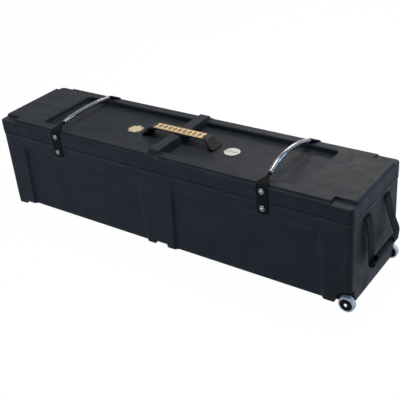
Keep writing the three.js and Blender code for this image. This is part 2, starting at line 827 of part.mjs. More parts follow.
// The adjustable end: it lies on the anchor webbing, goes round the clip's bar and hangs in front
function tailWebbingGeometry() {
  const middle = buckleMiddle();
  const behind = tubHalfWidth - panelDepth + seatGap * 2 + webbingThickness + webbingThickness / 2;
  const frameLow = seam - socketTopDrop - socketLength - seatGap - clipBaseLength - clipFrameLength;
  const barMiddle = frameLow + buckleBarHeight / 2;
  const front = middle + buckleArmThickness / 2 + seatGap * 2 + webbingThickness / 2;
  const above = barMiddle + buckleBarHeight / 2 + seatGap * 2 + webbingThickness / 2;
  const path = [
    [behind, frameLow - tailLap],
    [behind, frameLow - webbingThickness],
    [middle - buckleArmThickness / 2 - webbingThickness, above],
    [front, above],
    [front, above - tailLength],
  ];
  return strapBand(path, webbingThickness, webbingWidth);
}

// Pull handles, made for the +X end

function pullSlotZ() {
  return seam - pullSlotDrop;
}

// The middle of the grip
function pullGripPlace() {
  return [tubHalfLength + pullReach, pullSlotZ() - pullDrop];
}

// One leg of the webbing, from its pivot outside the slot down to the grip: side is -1 or 1 along Y
function pullPath(side) {
  const pivot = [pullPivotGap + pullWebbingThickness / 2, 0];
  const between = side < 0 ? pullStraightLeg : pullSlackLeg;
  const stops = [pivot, ...between, [pullReach, pullDrop]];
  const points = stops.map(([reach, drop]) => {
    return new THREE.Vector3(tubHalfLength + reach, 0, pullSlotZ() - drop);
  });
  const curve = new THREE.CatmullRomCurve3(points);
  return curve.getPoints(cornerSteps * 2).map((point) => [point.x, point.z]);
}

function pullWebbingGeometry() {
  const [gripX, gripZ] = pullGripPlace();
  const reach = pullLegSpacing / 2 + pullWebbingWidth / 2;
  const solids = [-1, 1].map((side) => {
    return endBand(pullPath(side), pullWebbingThickness, pullWebbingWidth, (side * pullLegSpacing) / 2);
  });
  solids.push(block([gripX - pullCoreThickness / 2, -reach, gripZ - pullCoreHeight / 2],
    [gripX + pullCoreThickness / 2, reach, gripZ + pullCoreHeight / 2]));
  return join(solids);
}

function pullGripGeometry() {
  const [gripX, gripZ] = pullGripPlace();
  const half = pullLegSpacing / 2 - pullWebbingWidth / 2 - seatGap;
  const grip = roundBar(pullGripRadius, -half, half, pullGripSides);
  const bore = block([-pullCoreThickness / 2 - seatGap, -half - cutOverrun, -pullCoreHeight / 2 - seatGap],
    [pullCoreThickness / 2 + seatGap, half + cutOverrun, pullCoreHeight / 2 + seatGap]);
  return cut(grip, [bore]).translate(gripX, 0, gripZ);
}

// The webbing behind the wall, which comes out through both slots
function pullRootGeometry() {
  const inner = tubHalfLength - wall - seatGap * 2 - pullPlateThickness;
  const outer = tubHalfLength + seatGap / 2;
  const half = pullWebbingWidth / 2;
  const reach = pullLegSpacing / 2 + half;
  const low = pullSlotZ() - pullWebbingThickness / 2;
  const high = pullSlotZ() + pullWebbingThickness / 2;
  const solids = [block([inner - pullWebbingThickness, -reach, low - pullInnerDrop], [inner, reach, high])];
  for (const side of [-1, 1]) {
    const y = (side * pullLegSpacing) / 2;
    solids.push(block([inner - seatGap, y - half, low], [outer, y + half, high]));
  }
  return join(solids);
}

// The plate between that webbing and the wall
function pullPlateGeometry() {
  const high = pullSlotZ() - pullSlotHeight / 2;
  const outer = tubHalfLength - wall - seatGap;
  const reach = pullLegSpacing / 2 + pullWebbingWidth / 2 + pullPlateMargin;
  return block([outer - pullPlateThickness, -reach, high - pullInnerDrop], [outer, reach, high]);
}

// Wheels, made for the +Y side and centred on the axle

function tyreGeometry() {
  const low = wheelOuterFace - wheelWidth;
  const high = wheelOuterFace;
  return turned([
    [hubRadius + seatGap, low + hubDish],
    [wheelRadius - tyreShoulder, low],
    [wheelRadius, low + tyreShoulder],
    [wheelRadius, high - tyreShoulder],
    [wheelRadius - tyreShoulder, high],
    [hubRadius + seatGap, high - hubDish],
  ], roundSides * 2);
}

function hubGeometry() {
  const low = wheelOuterFace - wheelWidth + hubDish;
  const high = wheelOuterFace - hubDish;
  return ringGeometry(hubRadius, axleRadius + axleClearance, low, high, roundSides * 2);
}

function axleGeometry() {
  const seat = wheelOuterFace - hubDish + seatGap;
  const tail = pocketInnerFace - axleBite;
  const profile = [
    [0, tail],
    [axleRadius, tail],
    [axleRadius, seat],
    [axleHeadRadius, seat],
    [axleHeadRadius, seat + axleHeadHeight / 2],
    [axleHeadRadius * Math.SQRT1_2, seat + axleHeadHeight * domeShare],
    [0, seat + axleHeadHeight],
  ];
  return new THREE.LatheGeometry(profile.map(([radius, y]) => new THREE.Vector2(radius, y)), roundSides);
}

function spacerGeometry() {
  const low = pocketInnerFace + seatGap;
  const high = wheelOuterFace - wheelWidth + hubDish - seatGap;
  return ringGeometry(spacerRadius, axleRadius + axleClearance, low, high, roundSides);
}

// Assembly

const group = new THREE.Group();

group.add(piece('tub', tubGeometry(), blackPlastic));
group.add(piece('lid', lidGeometry(), blackPlastic));
group.add(piece('carry_handle', handleGeometry(), darkPlastic));
group.add(piece('carry_handle_inlay', inlayGeometry(), goldPlastic));
group.add(piece('carry_handle_fixing_left', handleFixingGeometry(-1), zincSteel));
group.add(piece('carry_handle_fixing_right', handleFixingGeometry(1), zincSteel));
group.add(piece('badge_left', badgeGeometry(leftBadgeX), goldPlastic));
group.add(piece('badge_right', badgeGeometry(rightBadgeX), whitePlastic));

function rivetAt(side, outside, inside, height) {
  return mirrored(rivetGeometry(outside, inside), side).translate(0, 0, height);
}

function rivetWasherAt(side, inside, height) {
  const high = inside - seatGap;
  const low = high - rivetTail + seatGap * 2;
  const holeRadius = rivetShankRadius + rivetHoleGap;
  const ring = ringGeometry(rivetWasherRadius, holeRadius, low, high, roundSides);
  return mirrored(ring, side).translate(0, 0, height);
}

for (const [name, x] of Object.entries(strapX)) {
  const strap = new THREE.Group();
  strap.position.x = x;
  const rise = tubeRise[name];
  const webbingFace = caseWidth / 2 + seatGap + webbingThickness;
  const lidInside = caseWidth / 2 - wall;
  const tubInside = tubHalfWidth - wall;
  const panelInside = tubHalfWidth - panelDepth - wall;
  const anchorFace = tubHalfWidth - panelDepth + seatGap + webbingThickness;
  const lidRivet = seam + lidRivetHeight;
  const hingeRivet = seam - tubRivetDrop;
  const anchorRivet = floorGap + anchorRivetHeight;
  strap.add(piece(`lid_webbing_${name}`, lidWebbingGeometry(rise), blackWebbing));
  strap.add(piece(`strap_tube_${name}`, tubeGeometry(rise), clearPlastic));
  strap.add(piece(`hinge_webbing_${name}`, hingeWebbingGeometry(), blackWebbing));
  strap.add(piece(`hinge_lid_rivet_${name}`, rivetAt(-1, webbingFace, lidInside, lidRivet), zincSteel));
  strap.add(piece(`hinge_tub_rivet_${name}`, rivetAt(-1, webbingFace, tubInside, hingeRivet), zincSteel));
  strap.add(piece(`buckle_lid_rivet_${name}`, rivetAt(1, webbingFace, lidInside, lidRivet), zincSteel));
  strap.add(piece(`buckle_tub_rivet_${name}`, rivetAt(1, anchorFace, panelInside, anchorRivet), zincSteel));
  strap.add(piece(`hinge_lid_washer_${name}`, rivetWasherAt(-1, lidInside, lidRivet), zincSteel));
  strap.add(piece(`hinge_tub_washer_${name}`, rivetWasherAt(-1, tubInside, hingeRivet), zincSteel));
  strap.add(piece(`buckle_lid_washer_${name}`, rivetWasherAt(1, lidInside, lidRivet), zincSteel));
  strap.add(piece(`buckle_tub_washer_${name}`, rivetWasherAt(1, panelInside, anchorRivet), zincSteel));
  strap.add(piece(`buckle_socket_${name}`, socketGeometry(), darkPlastic));
  strap.add(piece(`buckle_clip_${name}`, clipGeometry(), darkPlastic));
  strap.add(piece(`anchor_webbing_${name}`, anchorWebbingGeometry(), blackWebbing));
  strap.add(piece(`tail_webbing_${name}`, tailWebbingGeometry(), blackWebbing));
  group.add(strap);
}

for (const [name, turn] of [['right', 0], ['left', Math.PI]]) {
  const end = new THREE.Group();
  end.rotation.z = turn;
  end.add(piece(`pull_webbing_${name}`, pullWebbingGeometry(), blackWebbing));
  end.add(piece(`pull_grip_${name}`, pullGripGeometry(), blackGrip));
  end.add(piece(`pull_root_${name}`, pullRootGeometry(), blackWebbing));
  end.add(piece(`pull_plate_${name}`, pullPlateGeometry(), zincSteel));
  group.add(end);
}

for (const [name, turn] of [['front', Math.PI], ['back', 0]]) {
  const wheel = new THREE.Group();
  wheel.position.set(axleX, 0, wheelRadius);
  wheel.rotation.z = turn;
  wheel.add(piece(`wheel_tyre_${name}`, tyreGeometry(), greyTyre));
  wheel.add(piece(`wheel_hub_${name}`, hubGeometry(), darkPlastic));
  wheel.add(piece(`wheel_axle_${name}`, axleGeometry(), zincSteel));
  wheel.add(piece(`wheel_spacer_${name}`, spacerGeometry(), darkPlastic));
  group.add(wheel);
}

export default group;
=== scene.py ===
import math

import bmesh
import bpy
import numpy as np
from mathutils import Matrix, Vector


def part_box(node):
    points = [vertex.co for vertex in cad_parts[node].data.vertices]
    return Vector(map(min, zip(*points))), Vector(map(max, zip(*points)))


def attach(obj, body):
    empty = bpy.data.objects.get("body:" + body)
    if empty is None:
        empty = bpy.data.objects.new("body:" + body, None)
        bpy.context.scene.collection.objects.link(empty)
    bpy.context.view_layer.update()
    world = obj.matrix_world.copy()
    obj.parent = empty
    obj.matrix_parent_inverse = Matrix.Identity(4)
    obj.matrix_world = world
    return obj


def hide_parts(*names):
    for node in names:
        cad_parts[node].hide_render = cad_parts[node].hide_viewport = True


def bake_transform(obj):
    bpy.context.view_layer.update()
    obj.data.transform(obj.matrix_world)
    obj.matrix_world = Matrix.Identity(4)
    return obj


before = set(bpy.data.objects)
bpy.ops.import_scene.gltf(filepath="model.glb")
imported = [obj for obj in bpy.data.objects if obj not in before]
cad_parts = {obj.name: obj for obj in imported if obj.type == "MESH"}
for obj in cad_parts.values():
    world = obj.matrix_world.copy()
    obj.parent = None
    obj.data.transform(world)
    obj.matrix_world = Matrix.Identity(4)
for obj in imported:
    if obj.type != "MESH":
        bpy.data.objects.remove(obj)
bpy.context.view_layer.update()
mm = 0.001
sides = {"left": -1, "right": 1}
print("frame loaded:", len(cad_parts), "solids")


# Colour and node helpers

def linear(hexColour):
    # sRGB hex to linear light, with an alpha of 1
    channels = [int(hexColour[at:at + 2], 16) / 255 for at in (1, 3, 5)]
    return [c / 12.92 if c <= 0.04045 else ((c + 0.055) / 1.055) ** 2.4 for c in channels] + [1]


def addNode(tree, kind, inputs, **attributes):
    # a node with its attributes and its inputs, listed in order or given by name or number: a socket, or
    # another node's first output, is linked to its input, and any other value is set on it
    node = tree.nodes.new("ShaderNode" + kind)
    for name, value in attributes.items():
        setattr(node, name, value)
    for name, value in (inputs if isinstance(inputs, dict) else dict(enumerate(inputs))).items():
        source = value.outputs[0] if isinstance(value, bpy.types.Node) else value
        if isinstance(source, bpy.types.NodeSocket):
            tree.links.new(source, node.inputs[name])
        else:
            node.inputs[name].default_value = source
    return node


def emptyTree(owner):
    # the node tree of a material or a world, cleared
    owner.use_nodes = True
    owner.node_tree.nodes.clear()
    return owner.node_tree


def startMaterial(looks):
    # a material with a Principled shader, whose even values sit on the shader's own sockets
    material = bpy.data.materials.new(looks["name"])
    tree = emptyTree(material)
    shader = addNode(tree, "BsdfPrincipled", looks["shader"])
    addNode(tree, "OutputMaterial", {"Surface": shader})
    return material, tree, shader


def blotches(tree, place, size, detail, low=0, high=1):
    # soft noise with blotches of a size in mm, most of it between 0.3 and 0.7, spread from low to high
    noise = addNode(tree, "TexNoise", {"Vector": place, "Scale": 1 / (size * mm), "Detail": detail})
    return addNode(tree, "MapRange", {"Value": noise, "From Min": 0.3, "From Max": 0.7, "To Min": low,
                                      "To Max": high})


def dress(tree, shader, share, first, second, roughness):
    # the colour goes from first to second with share
    colour = addNode(tree, "Mix", {0: share, 6: linear(first), 7: linear(second)}, data_type="RGBA")
    tree.links.new(colour.outputs[2], shader.inputs["Base Color"])
    tree.links.new(roughness.outputs[0], shader.inputs["Roughness"])


# Materials: cloud and scuff are a noise's size in mm and detail, and a bump adds its depth in mm

def grainedMaterial(looks):
    # cloud noise goes from dark to light, scuff noise spreads the roughness, and each bump is a noise whose
    # height tilts the normal of the bump before it
    material, tree, shader = startMaterial(looks)
    place = addNode(tree, "TexCoord", {}).outputs["Object"]
    dress(tree, shader, blotches(tree, place, *looks["cloud"]), looks["dark"], looks["light"],
          blotches(tree, place, *looks["scuff"], *looks["roughness"]))
    surface = {}
    for size, detail, depth in looks["bumps"]:
        noise = addNode(tree, "TexNoise", {"Vector": place, "Scale": 1 / (size * mm), "Detail": detail})
        surface = {"Normal": addNode(tree, "Bump", {**surface, "Height": noise, "Distance": depth * mm})}
    tree.links.new(surface["Normal"].outputs[0], shader.inputs["Normal"])
    return material


def addPaintedShadeRing(material, looks):
    # painted shade: a dark colour where the share r of a cap's radius is within valleyHalf of the valley, or
    # over the edge
    tree = material.node_tree
    colour = tree.nodes["Principled BSDF"].inputs["Base Color"]
    unshadedColour = colour.links[0].from_socket
    own = addNode(tree, "UVMap", {}, uv_map="disc")
    reach = addNode(tree, "VectorMath", [own], operation="LENGTH").outputs["Value"]
    valley = addNode(tree, "Math", [reach, looks["valley"], looks["valleyHalf"]], operation="COMPARE")
    edge = addNode(tree, "Math", [reach, looks["edge"]], operation="GREATER_THAN")
    share = addNode(tree, "Math", [valley, edge], operation="MAXIMUM")
    paintedShade = addNode(tree, "Mix", {0: share, 6: unshadedColour, 7: linear(looks["colour"])}, data_type="RGBA")
    tree.links.new(paintedShade.outputs[2], colour)


def polyesterWebbing(looks):
    # crossing threads: crowns at sin(across) + sin(along + across / 2), where across and along are the
    # distances in mm over the band and down it, in turns of the warp's and the weft's spacing
    material, tree, shader = startMaterial(looks)
    own = addNode(tree, "SeparateXYZ", [addNode(tree, "UVMap", {}, uv_map="threads")]).outputs
    across = addNode(tree, "Math", [own[0], 2 * math.pi / looks["warp"]], operation="MULTIPLY")
    along = addNode(tree, "Math", [own[1], 2 * math.pi / looks["weft"]], operation="MULTIPLY")
    offset = addNode(tree, "Math", [across, 0.5], operation="MULTIPLY")
    slanted = addNode(tree, "Math", [along, offset], operation="ADD")
    warp = addNode(tree, "Math", [across], operation="SINE")
    weft = addNode(tree, "Math", [slanted], operation="SINE")
    crowns = addNode(tree, "Math", [warp, weft], operation="ADD")
    height = addNode(tree, "MapRange", {"Value": crowns, "From Min": -2, "From Max": 2})
    valleyRough, crownRough = looks["roughness"]
    rough = addNode(tree, "MapRange", {"Value": height, "To Min": valleyRough, "To Max": crownRough})
    dress(tree, shader, height, looks["dark"], looks["light"], rough)
    bump = addNode(tree, "Bump", {"Height": height, "Distance": looks["threadDepth"] * mm})
    tree.links.new(bump.outputs[0], shader.inputs["Normal"])
    return material


def printedStrip(looks):
    # ink where |x| / half length + |y| / half height is under 1 in each pitch, and on two lines along
    material, tree, shader = startMaterial(looks)
    place = addNode(tree, "TexCoord", {}).outputs["Object"]
    own = addNode(tree, "SeparateXYZ", [place]).outputs
    fold = addNode(tree, "Math", [own[0], looks["pitch"] * mm / 2], operation="PINGPONG")
    rise = addNode(tree, "Math", [own[1]], operation="ABSOLUTE")
    slope = addNode(tree, "Math", [fold, looks["lozengeLength"] * mm / 2], operation="DIVIDE")
    tall = addNode(tree, "Math", [rise, looks["lozengeHeight"] * mm / 2], operation="DIVIDE")
    reach = addNode(tree, "Math", [slope, tall], operation="ADD")
    lozenge = addNode(tree, "Math", [reach, 1.0], operation="LESS_THAN")
    line = addNode(tree, "Math", [rise, looks["lineAt"] * mm, looks["lineWidth"] * mm / 2],
                   operation="COMPARE")
    marks = addNode(tree, "Math", [lozenge, line], operation="MAXIMUM")
    rough = blotches(tree, place, *looks["scuff"], *looks["roughness"])
    dress(tree, shader, marks, looks["ground"], looks["ink"], rough)
    return material


def printedDisc(looks):
    # ink on petals, where sin(petals * angle) is over petalLimit outside a ring, and on a bar across the
    # middle, and painted shade in the ink's colour on the rim; the middle is 0 and the edge 1
    material, tree, shader = startMaterial(looks)
    disc = addNode(tree, "UVMap", {}, uv_map="disc")
    own = addNode(tree, "SeparateXYZ", [disc]).outputs
    reach = addNode(tree, "VectorMath", [disc], operation="LENGTH").outputs["Value"]
    angle = addNode(tree, "Math", [own[1], own[0]], operation="ARCTAN2")
    turns = addNode(tree, "Math", [angle, looks["petals"]], operation="MULTIPLY")
    wave = addNode(tree, "Math", [turns], operation="SINE")
    petal = addNode(tree, "Math", [wave, looks["petalLimit"]], operation="GREATER_THAN")
    outer = addNode(tree, "Math", [reach, looks["petalsFrom"]], operation="GREATER_THAN")
    notch = addNode(tree, "Math", [petal, outer], operation="MULTIPLY")
    bar = addNode(tree, "Math", [own[1], 0, looks["bar"] / 2], operation="COMPARE")
    # painted shade: the dark ring round the rim stands for the shade at the badge's edge
    rim = addNode(tree, "Math", [reach, looks["shadedRimFrom"]], operation="GREATER_THAN")
    middle = addNode(tree, "Math", [notch, bar], operation="MAXIMUM")
    marks = addNode(tree, "Math", [middle, rim], operation="MAXIMUM")
    place = addNode(tree, "TexCoord", {}).outputs["Object"]
    rough = blotches(tree, place, *looks["scuff"], *looks["roughness"])
    dress(tree, shader, marks, looks["ground"], looks["ink"], rough)
    return material


# black polyethylene out of a grained mould: dull, with an orange-peel grain, a wavy wall and faint clouds
shellPlastic = grainedMaterial(dict(
    name="rotomoulded polyethylene", shader={"IOR": 1.51, "Specular IOR Level": 0.05}, dark="#171b21",
    light="#1e2228", cloud=(60, 3), scuff=(35, 6), roughness=(0.42, 0.55),
    bumps=[(2.2, 2, 0.12), (45, 1, 0.5)]))

# glass-filled nylon and acetal from polished moulds: deep black with a soft shine and a fine speckle
handleNylon = grainedMaterial(dict(
    name="moulded nylon", shader={"IOR": 1.53, "Specular IOR Level": 0.12}, dark="#0e0f12", light="#131417",
    cloud=(14, 3), scuff=(6, 3), roughness=(0.5, 0.62), bumps=[(1.4, 2, 0.06)]))
hubNylon = grainedMaterial(dict(
    name="wheel hub nylon", shader={"IOR": 1.53, "Specular IOR Level": 0.06}, dark="#060708",
    light="#0a0b0d", cloud=(14, 3), scuff=(6, 3), roughness=(0.4, 0.55), bumps=[(1.4, 2, 0.05)]))
buckleNylon = grainedMaterial(dict(
    name="acetal", shader={"IOR": 1.53, "Specular IOR Level": 0.45}, dark="#101113", light="#151618",
    cloud=(14, 3), scuff=(6, 3), roughness=(0.3, 0.4), bumps=[(1.4, 2, 0.04)]))

# thermoplastic rubber: matt, dusty and slightly mottled, grey on the tread and black on the grips
tyreRubber = grainedMaterial(dict(
    name="grey tread rubber", shader={"IOR": 1.5, "Specular IOR Level": 0.3}, dark="#a0a4a9",
    light="#b6babf", cloud=(9, 5), scuff=(4, 3), roughness=(0.6, 0.75), bumps=[(1.2, 3, 0.1)]))
gripRubber = grainedMaterial(dict(
    name="black grip rubber", shader={"IOR": 1.5, "Specular IOR Level": 0.08}, dark="#0a0c0f",
    light="#0f1216", cloud=(7, 5), scuff=(4, 3), roughness=(0.55, 0.75), bumps=[(1.2, 3, 0.12)]))

# soft extruded vinyl: milky clear and glossy, so it shows a hard white streak and a blue-grey shade below
hoseVinyl = grainedMaterial(dict(
    name="clear vinyl", shader={"IOR": 1.52, "Transmission Weight": 0.6, "Specular IOR Level": 0.6,
                                "Coat Weight": 1.0, "Coat Roughness": 0.06},
    dark="#3f4650", light="#525a65", cloud=(9, 3), scuff=(5, 3), roughness=(0.05, 0.1),
    bumps=[(11, 1, 0.06)]))

# zinc plate on pressed and turned steel: silvery with drum-polish marks, darkened as painted shade on the
# rivets, plates and washers, with more painted shade in the caps' valley and at their edge, and bright on
# the axles
# painted shade: this copy of the zinc is darker than the bright one, for the darker reflections the rivets
# show
zinc = grainedMaterial(dict(
    name="zinc plate darkened as painted shade", shader={"Metallic": 1.0}, dark="#62656a", light="#94979c", cloud=(3, 3),
    scuff=(2, 5), roughness=(0.16, 0.3), bumps=[(1.5, 4, 0.05)]))
# painted shade: a dark ring in the caps' valley and at their edge
addPaintedShadeRing(zinc, dict(colour="#1b1c1f", valley=0.68, valleyHalf=0.1, edge=0.92))
brightZinc = grainedMaterial(dict(
    name="bright zinc plate", shader={"Metallic": 1.0}, dark="#b9bcc1", light="#dddfe3", cloud=(3, 3),
    scuff=(2, 5), roughness=(0.2, 0.3), bumps=[(1.5, 4, 0.05)]))

# woven polyester webbing: threads that catch a little light on their crowns and are dull in between, drawn
# about twice as coarse as real ones so that they show; roughness is the valleys' and the crowns'
webbing = polyesterWebbing(dict(
    name="polyester webbing", shader={"IOR": 1.5, "Specular IOR Level": 0.05, "Sheen Weight": 0.02,
                                      "Sheen Roughness": 0.4},
    dark="#070809", light="#0e0f10", roughness=(0.85, 0.6), warp=2.4, weft=3.2, threadDepth=0.35))

# hot-stamped gold foil on plastic: a soft metallic glow under clear lacquer, with a plain printed pattern
goldStrip = printedStrip(dict(
    name="gold foil strip", shader={"IOR": 1.5, "Metallic": 0.35, "Coat Weight": 0.3}, ground="#b89c62",
    ink="#241c12", pitch=19, lozengeLength=16, lozengeHeight=25, lineAt=14, lineWidth=2.4, scuff=(5, 3),
    roughness=(0.28, 0.4)))

# printed badges under a clear resin drop: pale and glossy, with dark printed marks and a painted shade ring
# round the rim
goldBadge = printedDisc(dict(
    name="gold badge", shader={"IOR": 1.5, "Coat Weight": 0.5, "Metallic": 0.1}, ground="#9e906c",
    ink="#2c2416", petals=7, petalsFrom=0.72, petalLimit=0.2, bar=0, shadedRimFrom=0.91, scuff=(6, 3),
    roughness=(0.25, 0.4)))
whiteBadge = printedDisc(dict(
    name="white badge", shader={"IOR": 1.5, "Coat Weight": 0.5, "Metallic": 0}, ground="#989a9b",
    ink="#1c1d20", petals=0, petalsFrom=0.72, petalLimit=0.2, bar=0.11, shadedRimFrom=0.91, scuff=(6, 3),
    roughness=(0.25, 0.4)))
print("materials ready")


# Mesh helpers: every shape is worked out in millimetres

fullTurn = 2 * np.pi
axisRadius = 0.01  # a turned profile stops this close to its axis, where a small cap closes it
domeEnd = fullTurn / 4 - 0.02  # and a dome stops at this angle, just short of its top


def ease(low, high, value):
    # 0 below low, 1 above high, and t * t * (3 - 2 * t) between them
    t = np.clip((value - low) / (high - low), 0, 1)
    return t * t * (3 - 2 * t)


def unit(vectors):
    # each vector over its own length
    return vectors / np.linalg.norm(vectors, axis=-1, keepdims=True)


def gridLines(stops, places):
    # lines from stop to stop: each has a named place, a shift from it and the steps up to the next stop
    starts = [places[name] + shift for name, shift, _ in stops]
    parts = [np.linspace(start, end, stop[2], endpoint=False)
             for start, end, stop in zip(starts[:-1], starts[1:], stops)]
    return np.concatenate(parts + [starts[-1:]])


def mirrored(half):
    # lines from 0 outwards, and the same on the other side of 0
    return np.concatenate([-half[:0:-1], half])


def spans(parts):
    # even levels in each part, given as (from, to, count), without doubles
    return np.unique(np.concatenate([np.linspace(*part) for part in parts]))


def gridQuads(rows, columns, closeRows=False, closeColumns=False):
    # the quads of a grid of points, each wound from its row to the next and then to the next column
    i, j = np.meshgrid(np.arange(rows - (not closeRows)), np.arange(columns - (not closeColumns)),
                       indexing="ij")
    row, nextRow, nextJ = i * columns, (i + 1) % rows * columns, (j + 1) % columns
    return np.stack([row + j, nextRow + j, nextRow + nextJ, row + nextJ], -1).reshape(-1, 4)


def tubeFaces(rows, around):
    # a tube of rings that turn anticlockwise seen from its last ring's end, with a cap on both ends
    quads = gridQuads(rows, around, closeColumns=True)[:, ::-1].tolist()
    return quads + [list(range(around))[::-1], list(range((rows - 1) * around, rows * around))]


def addObject(name, data):
    # a new object in the scene
    item = bpy.data.objects.new(name, data)
    bpy.context.scene.collection.objects.link(item)
    return item


def addPiece(name, mesh, material, body, replaced):
    # a smooth mesh as a piece of the model, attached to its body where it has one
    mesh.shade_smooth()
    mesh.materials.clear()
    mesh.materials.append(material)
    piece = addObject(name, mesh)
    if body:
        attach(piece, body)
    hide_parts(*replaced)
    return piece


def makePiece(name, points, faces, material, body, replaced, slot, uv=None, uvName="threads"):
    # a piece from points in mm, with the UV of each point where there is one
    mesh = bpy.data.meshes.new(name)
    mesh.from_pydata((np.asarray(points) * mm).tolist(), [], [list(face) for face in faces])
    if uv is not None:
        layer = mesh.uv_layers.new(name=uvName)
        corner = np.empty(len(mesh.loops), np.int32)
        mesh.loops.foreach_get("vertex_index", corner)
        layer.data.foreach_set("uv", np.asarray(uv, np.float32)[corner].ravel())
    mesh.validate()
    return addPiece(name, mesh, material, body, replaced)


def lengthAlong(path):
    # the running length at each point of a path
    return np.concatenate([[0], np.cumsum(np.linalg.norm(np.diff(path, axis=0), axis=1))])


def smoothPath(stops, count):
    # cubics from stop to stop at even steps, each stop's slope taken from the stops beside it
    stops = np.asarray(stops, float)
    chord = lengthAlong(stops)
    slope = np.gradient(stops, chord, axis=0)
    place = np.linspace(0, chord[-1], count)
    k = np.clip(np.searchsorted(chord, place, side="right") - 1, 0, len(stops) - 2)
    span = (chord[k + 1] - chord[k])[:, None]
    t = (place - chord[k])[:, None] / span
    start = (1 + 2 * t) * (1 - t) ** 2 * stops[k] + t * (1 - t) ** 2 * span * slope[k]
    return start + t * t * (3 - 2 * t) * stops[k + 1] + t * t * (t - 1) * span * slope[k + 1]


def pathNormals(path, side):
    # at each point, the direction that stands square on both the side and the path
    return unit(np.cross(side, unit(np.gradient(path, axis=0))))


def squaredOval(angle, squareness):
    # points of |a|^n + |b|^n = 1, which is an ellipse at n = 2 and nearly a box at n = 8
    power = 2 / np.atleast_1d(squareness)[:, None]
    cos, sin = np.cos(angle), np.sin(angle)
    return np.sign(cos) * np.abs(cos) ** power, np.sign(sin) * np.abs(sin) ** power


def sweep(path, side, width, thick, squareness, ripple=0, ripples=1, around=28):
    # a closed band along a path: each section is a squared-off oval, width along side and thick along the
    # path's normal, times 1 + ripple * cos(ripples * angle) for soft gathers
    side = np.broadcast_to(np.asarray(side, float), path.shape)
    normal = pathNormals(path, side)
    angle = np.linspace(0, fullTurn, around, endpoint=False)
    width, thick, ripple = (np.broadcast_to(value, len(path))[:, None] for value in (width, thick, ripple))
    across, out = squaredOval(angle, squareness)
    across, out = across * width / 2, out * thick / 2
    fold = 1 + ripple * np.cos(ripples * angle)
    points = path[:, None] + side[:, None] * (across * fold)[..., None]
    points = points + normal[:, None] * (out * fold)[..., None]
    faces = [face[::-1] for face in tubeFaces(len(path), around)]
    along = np.broadcast_to(lengthAlong(path)[:, None], across.shape)
    return points.reshape(-1, 3), faces, np.stack([across, along], -1).reshape(-1, 2)


def turned(name, profile, centre, axis, material, around=64, closed=False, **rest):
    # a profile of (radius, height) pairs turned about an axis through centre: closed turns a ring profile
    # that goes up on its inside, and otherwise it goes up on its outside and its ends are capped
    profile, axis = np.asarray(profile, float), np.asarray(axis, float)
    first = unit(np.cross(axis, (0.0, 0.0, 1.0))) if axis[2] == 0 else np.array([1.0, 0.0, 0.0])
    second = np.cross(axis, first)
    angle = np.linspace(0, fullTurn, around, endpoint=False)
    ring = np.cos(angle)[:, None] * first + np.sin(angle)[:, None] * second
    points = np.asarray(centre, float) + profile[:, None, 1:] * axis + profile[:, None, :1] * ring[None]
    rows = len(profile)
    faces = gridQuads(rows, around, closeRows=True, closeColumns=True) if closed else tubeFaces(rows, around)
    disc = np.stack([np.cos(angle), np.sin(angle)], -1) * (profile[:, None, :1] / profile[:, 0].max())
    return makePiece(name, points.reshape(-1, 3), faces, material, uv=disc.reshape(-1, 2), uvName="disc",
                     **rest)


def roundedProfile(corners, radius, steps):
    # an open profile whose inner corners are rounded by short quadratic arcs, at most 0.45 of each side
    corners = np.asarray(corners, float)
    result = [corners[0]]
    t = np.linspace(0, 1, steps + 1)[:, None]
    for before, corner, after in zip(corners[:-2], corners[1:-1], corners[2:]):
        start, end = (corner + unit(other - corner) * min(radius, np.linalg.norm(other - corner) * 0.45)
                      for other in (before, after))
        result += list((1 - t) ** 2 * start + 2 * t * (1 - t) * corner + t * t * end)
    return np.array(result + [corners[-1]])


def domeProfile(radius, base, rise, start, steps):
    # a quarter ellipse from just over its foot to just short of the axis: radius * cos, base + rise * sin
    angle = np.linspace(start, domeEnd, steps)
    return np.column_stack([radius * np.cos(angle), base + rise * np.sin(angle)])


def roundCorners(x, y, halfX, halfY, radius):
    # each corner square of a grid is pulled in to a quarter disc, and the outward direction comes with it
    dx = np.maximum(np.abs(x) - (halfX - radius), 0)
    dy = np.maximum(np.abs(y) - (halfY - radius), 0)
    pull = np.where((dx > 0) & (dy > 0), np.maximum(dx, dy) / np.maximum(np.hypot(dx, dy), 1e-9), 1)
    newX = np.sign(x) * (np.minimum(np.abs(x), halfX - radius) + dx * pull)
    newY = np.sign(y) * (np.minimum(np.abs(y), halfY - radius) + dy * pull)
    return newX, newY, np.sign(x) * dx * pull, np.sign(y) * dy * pull


def insideBox(x, y, halfX, halfY, radius):
    # how far inside a rounded rectangle a point lies
    qx, qy = np.abs(x) - (halfX - radius), np.abs(y) - (halfY - radius)
    outside = np.hypot(np.maximum(qx, 0), np.maximum(qy, 0))
    return radius - outside - np.minimum(np.maximum(qx, qy), 0)


def borderOrder(rows, columns):
    # a patch's border points in order, anticlockwise seen from above
    index = np.arange(rows * columns).reshape(rows, columns)
    return np.concatenate([index[:-1, 0], index[-1, :-1], index[:0:-1, -1], index[0, :0:-1]])


def borderOutline(linesX, linesY, halfX, halfY, radius, inset):
    # the border points of a patch carried out to the full outline, and their outward directions
    x, y = np.meshgrid(linesX, linesY, indexing="ij")
    x, y, outX, outY = roundCorners(x, y, halfX - inset, halfY - inset, radius - inset)
    border = borderOrder(*x.shape)
    x, y, outX, outY = (values.ravel()[border] for values in (x, y, outX, outY))
    length = np.maximum(np.hypot(outX, outY), 1e-9)
    outX, outY = outX / length, outY / length
    return x + outX * inset, y + outY * inset, outX, outY


def outlineLoop(outline, offset, height):
    # an outline moved in by offset, at a height
    x, y, outX, outY = outline
    return np.stack([x - outX * offset, y - outY * offset, np.broadcast_to(height, x.shape)], -1)


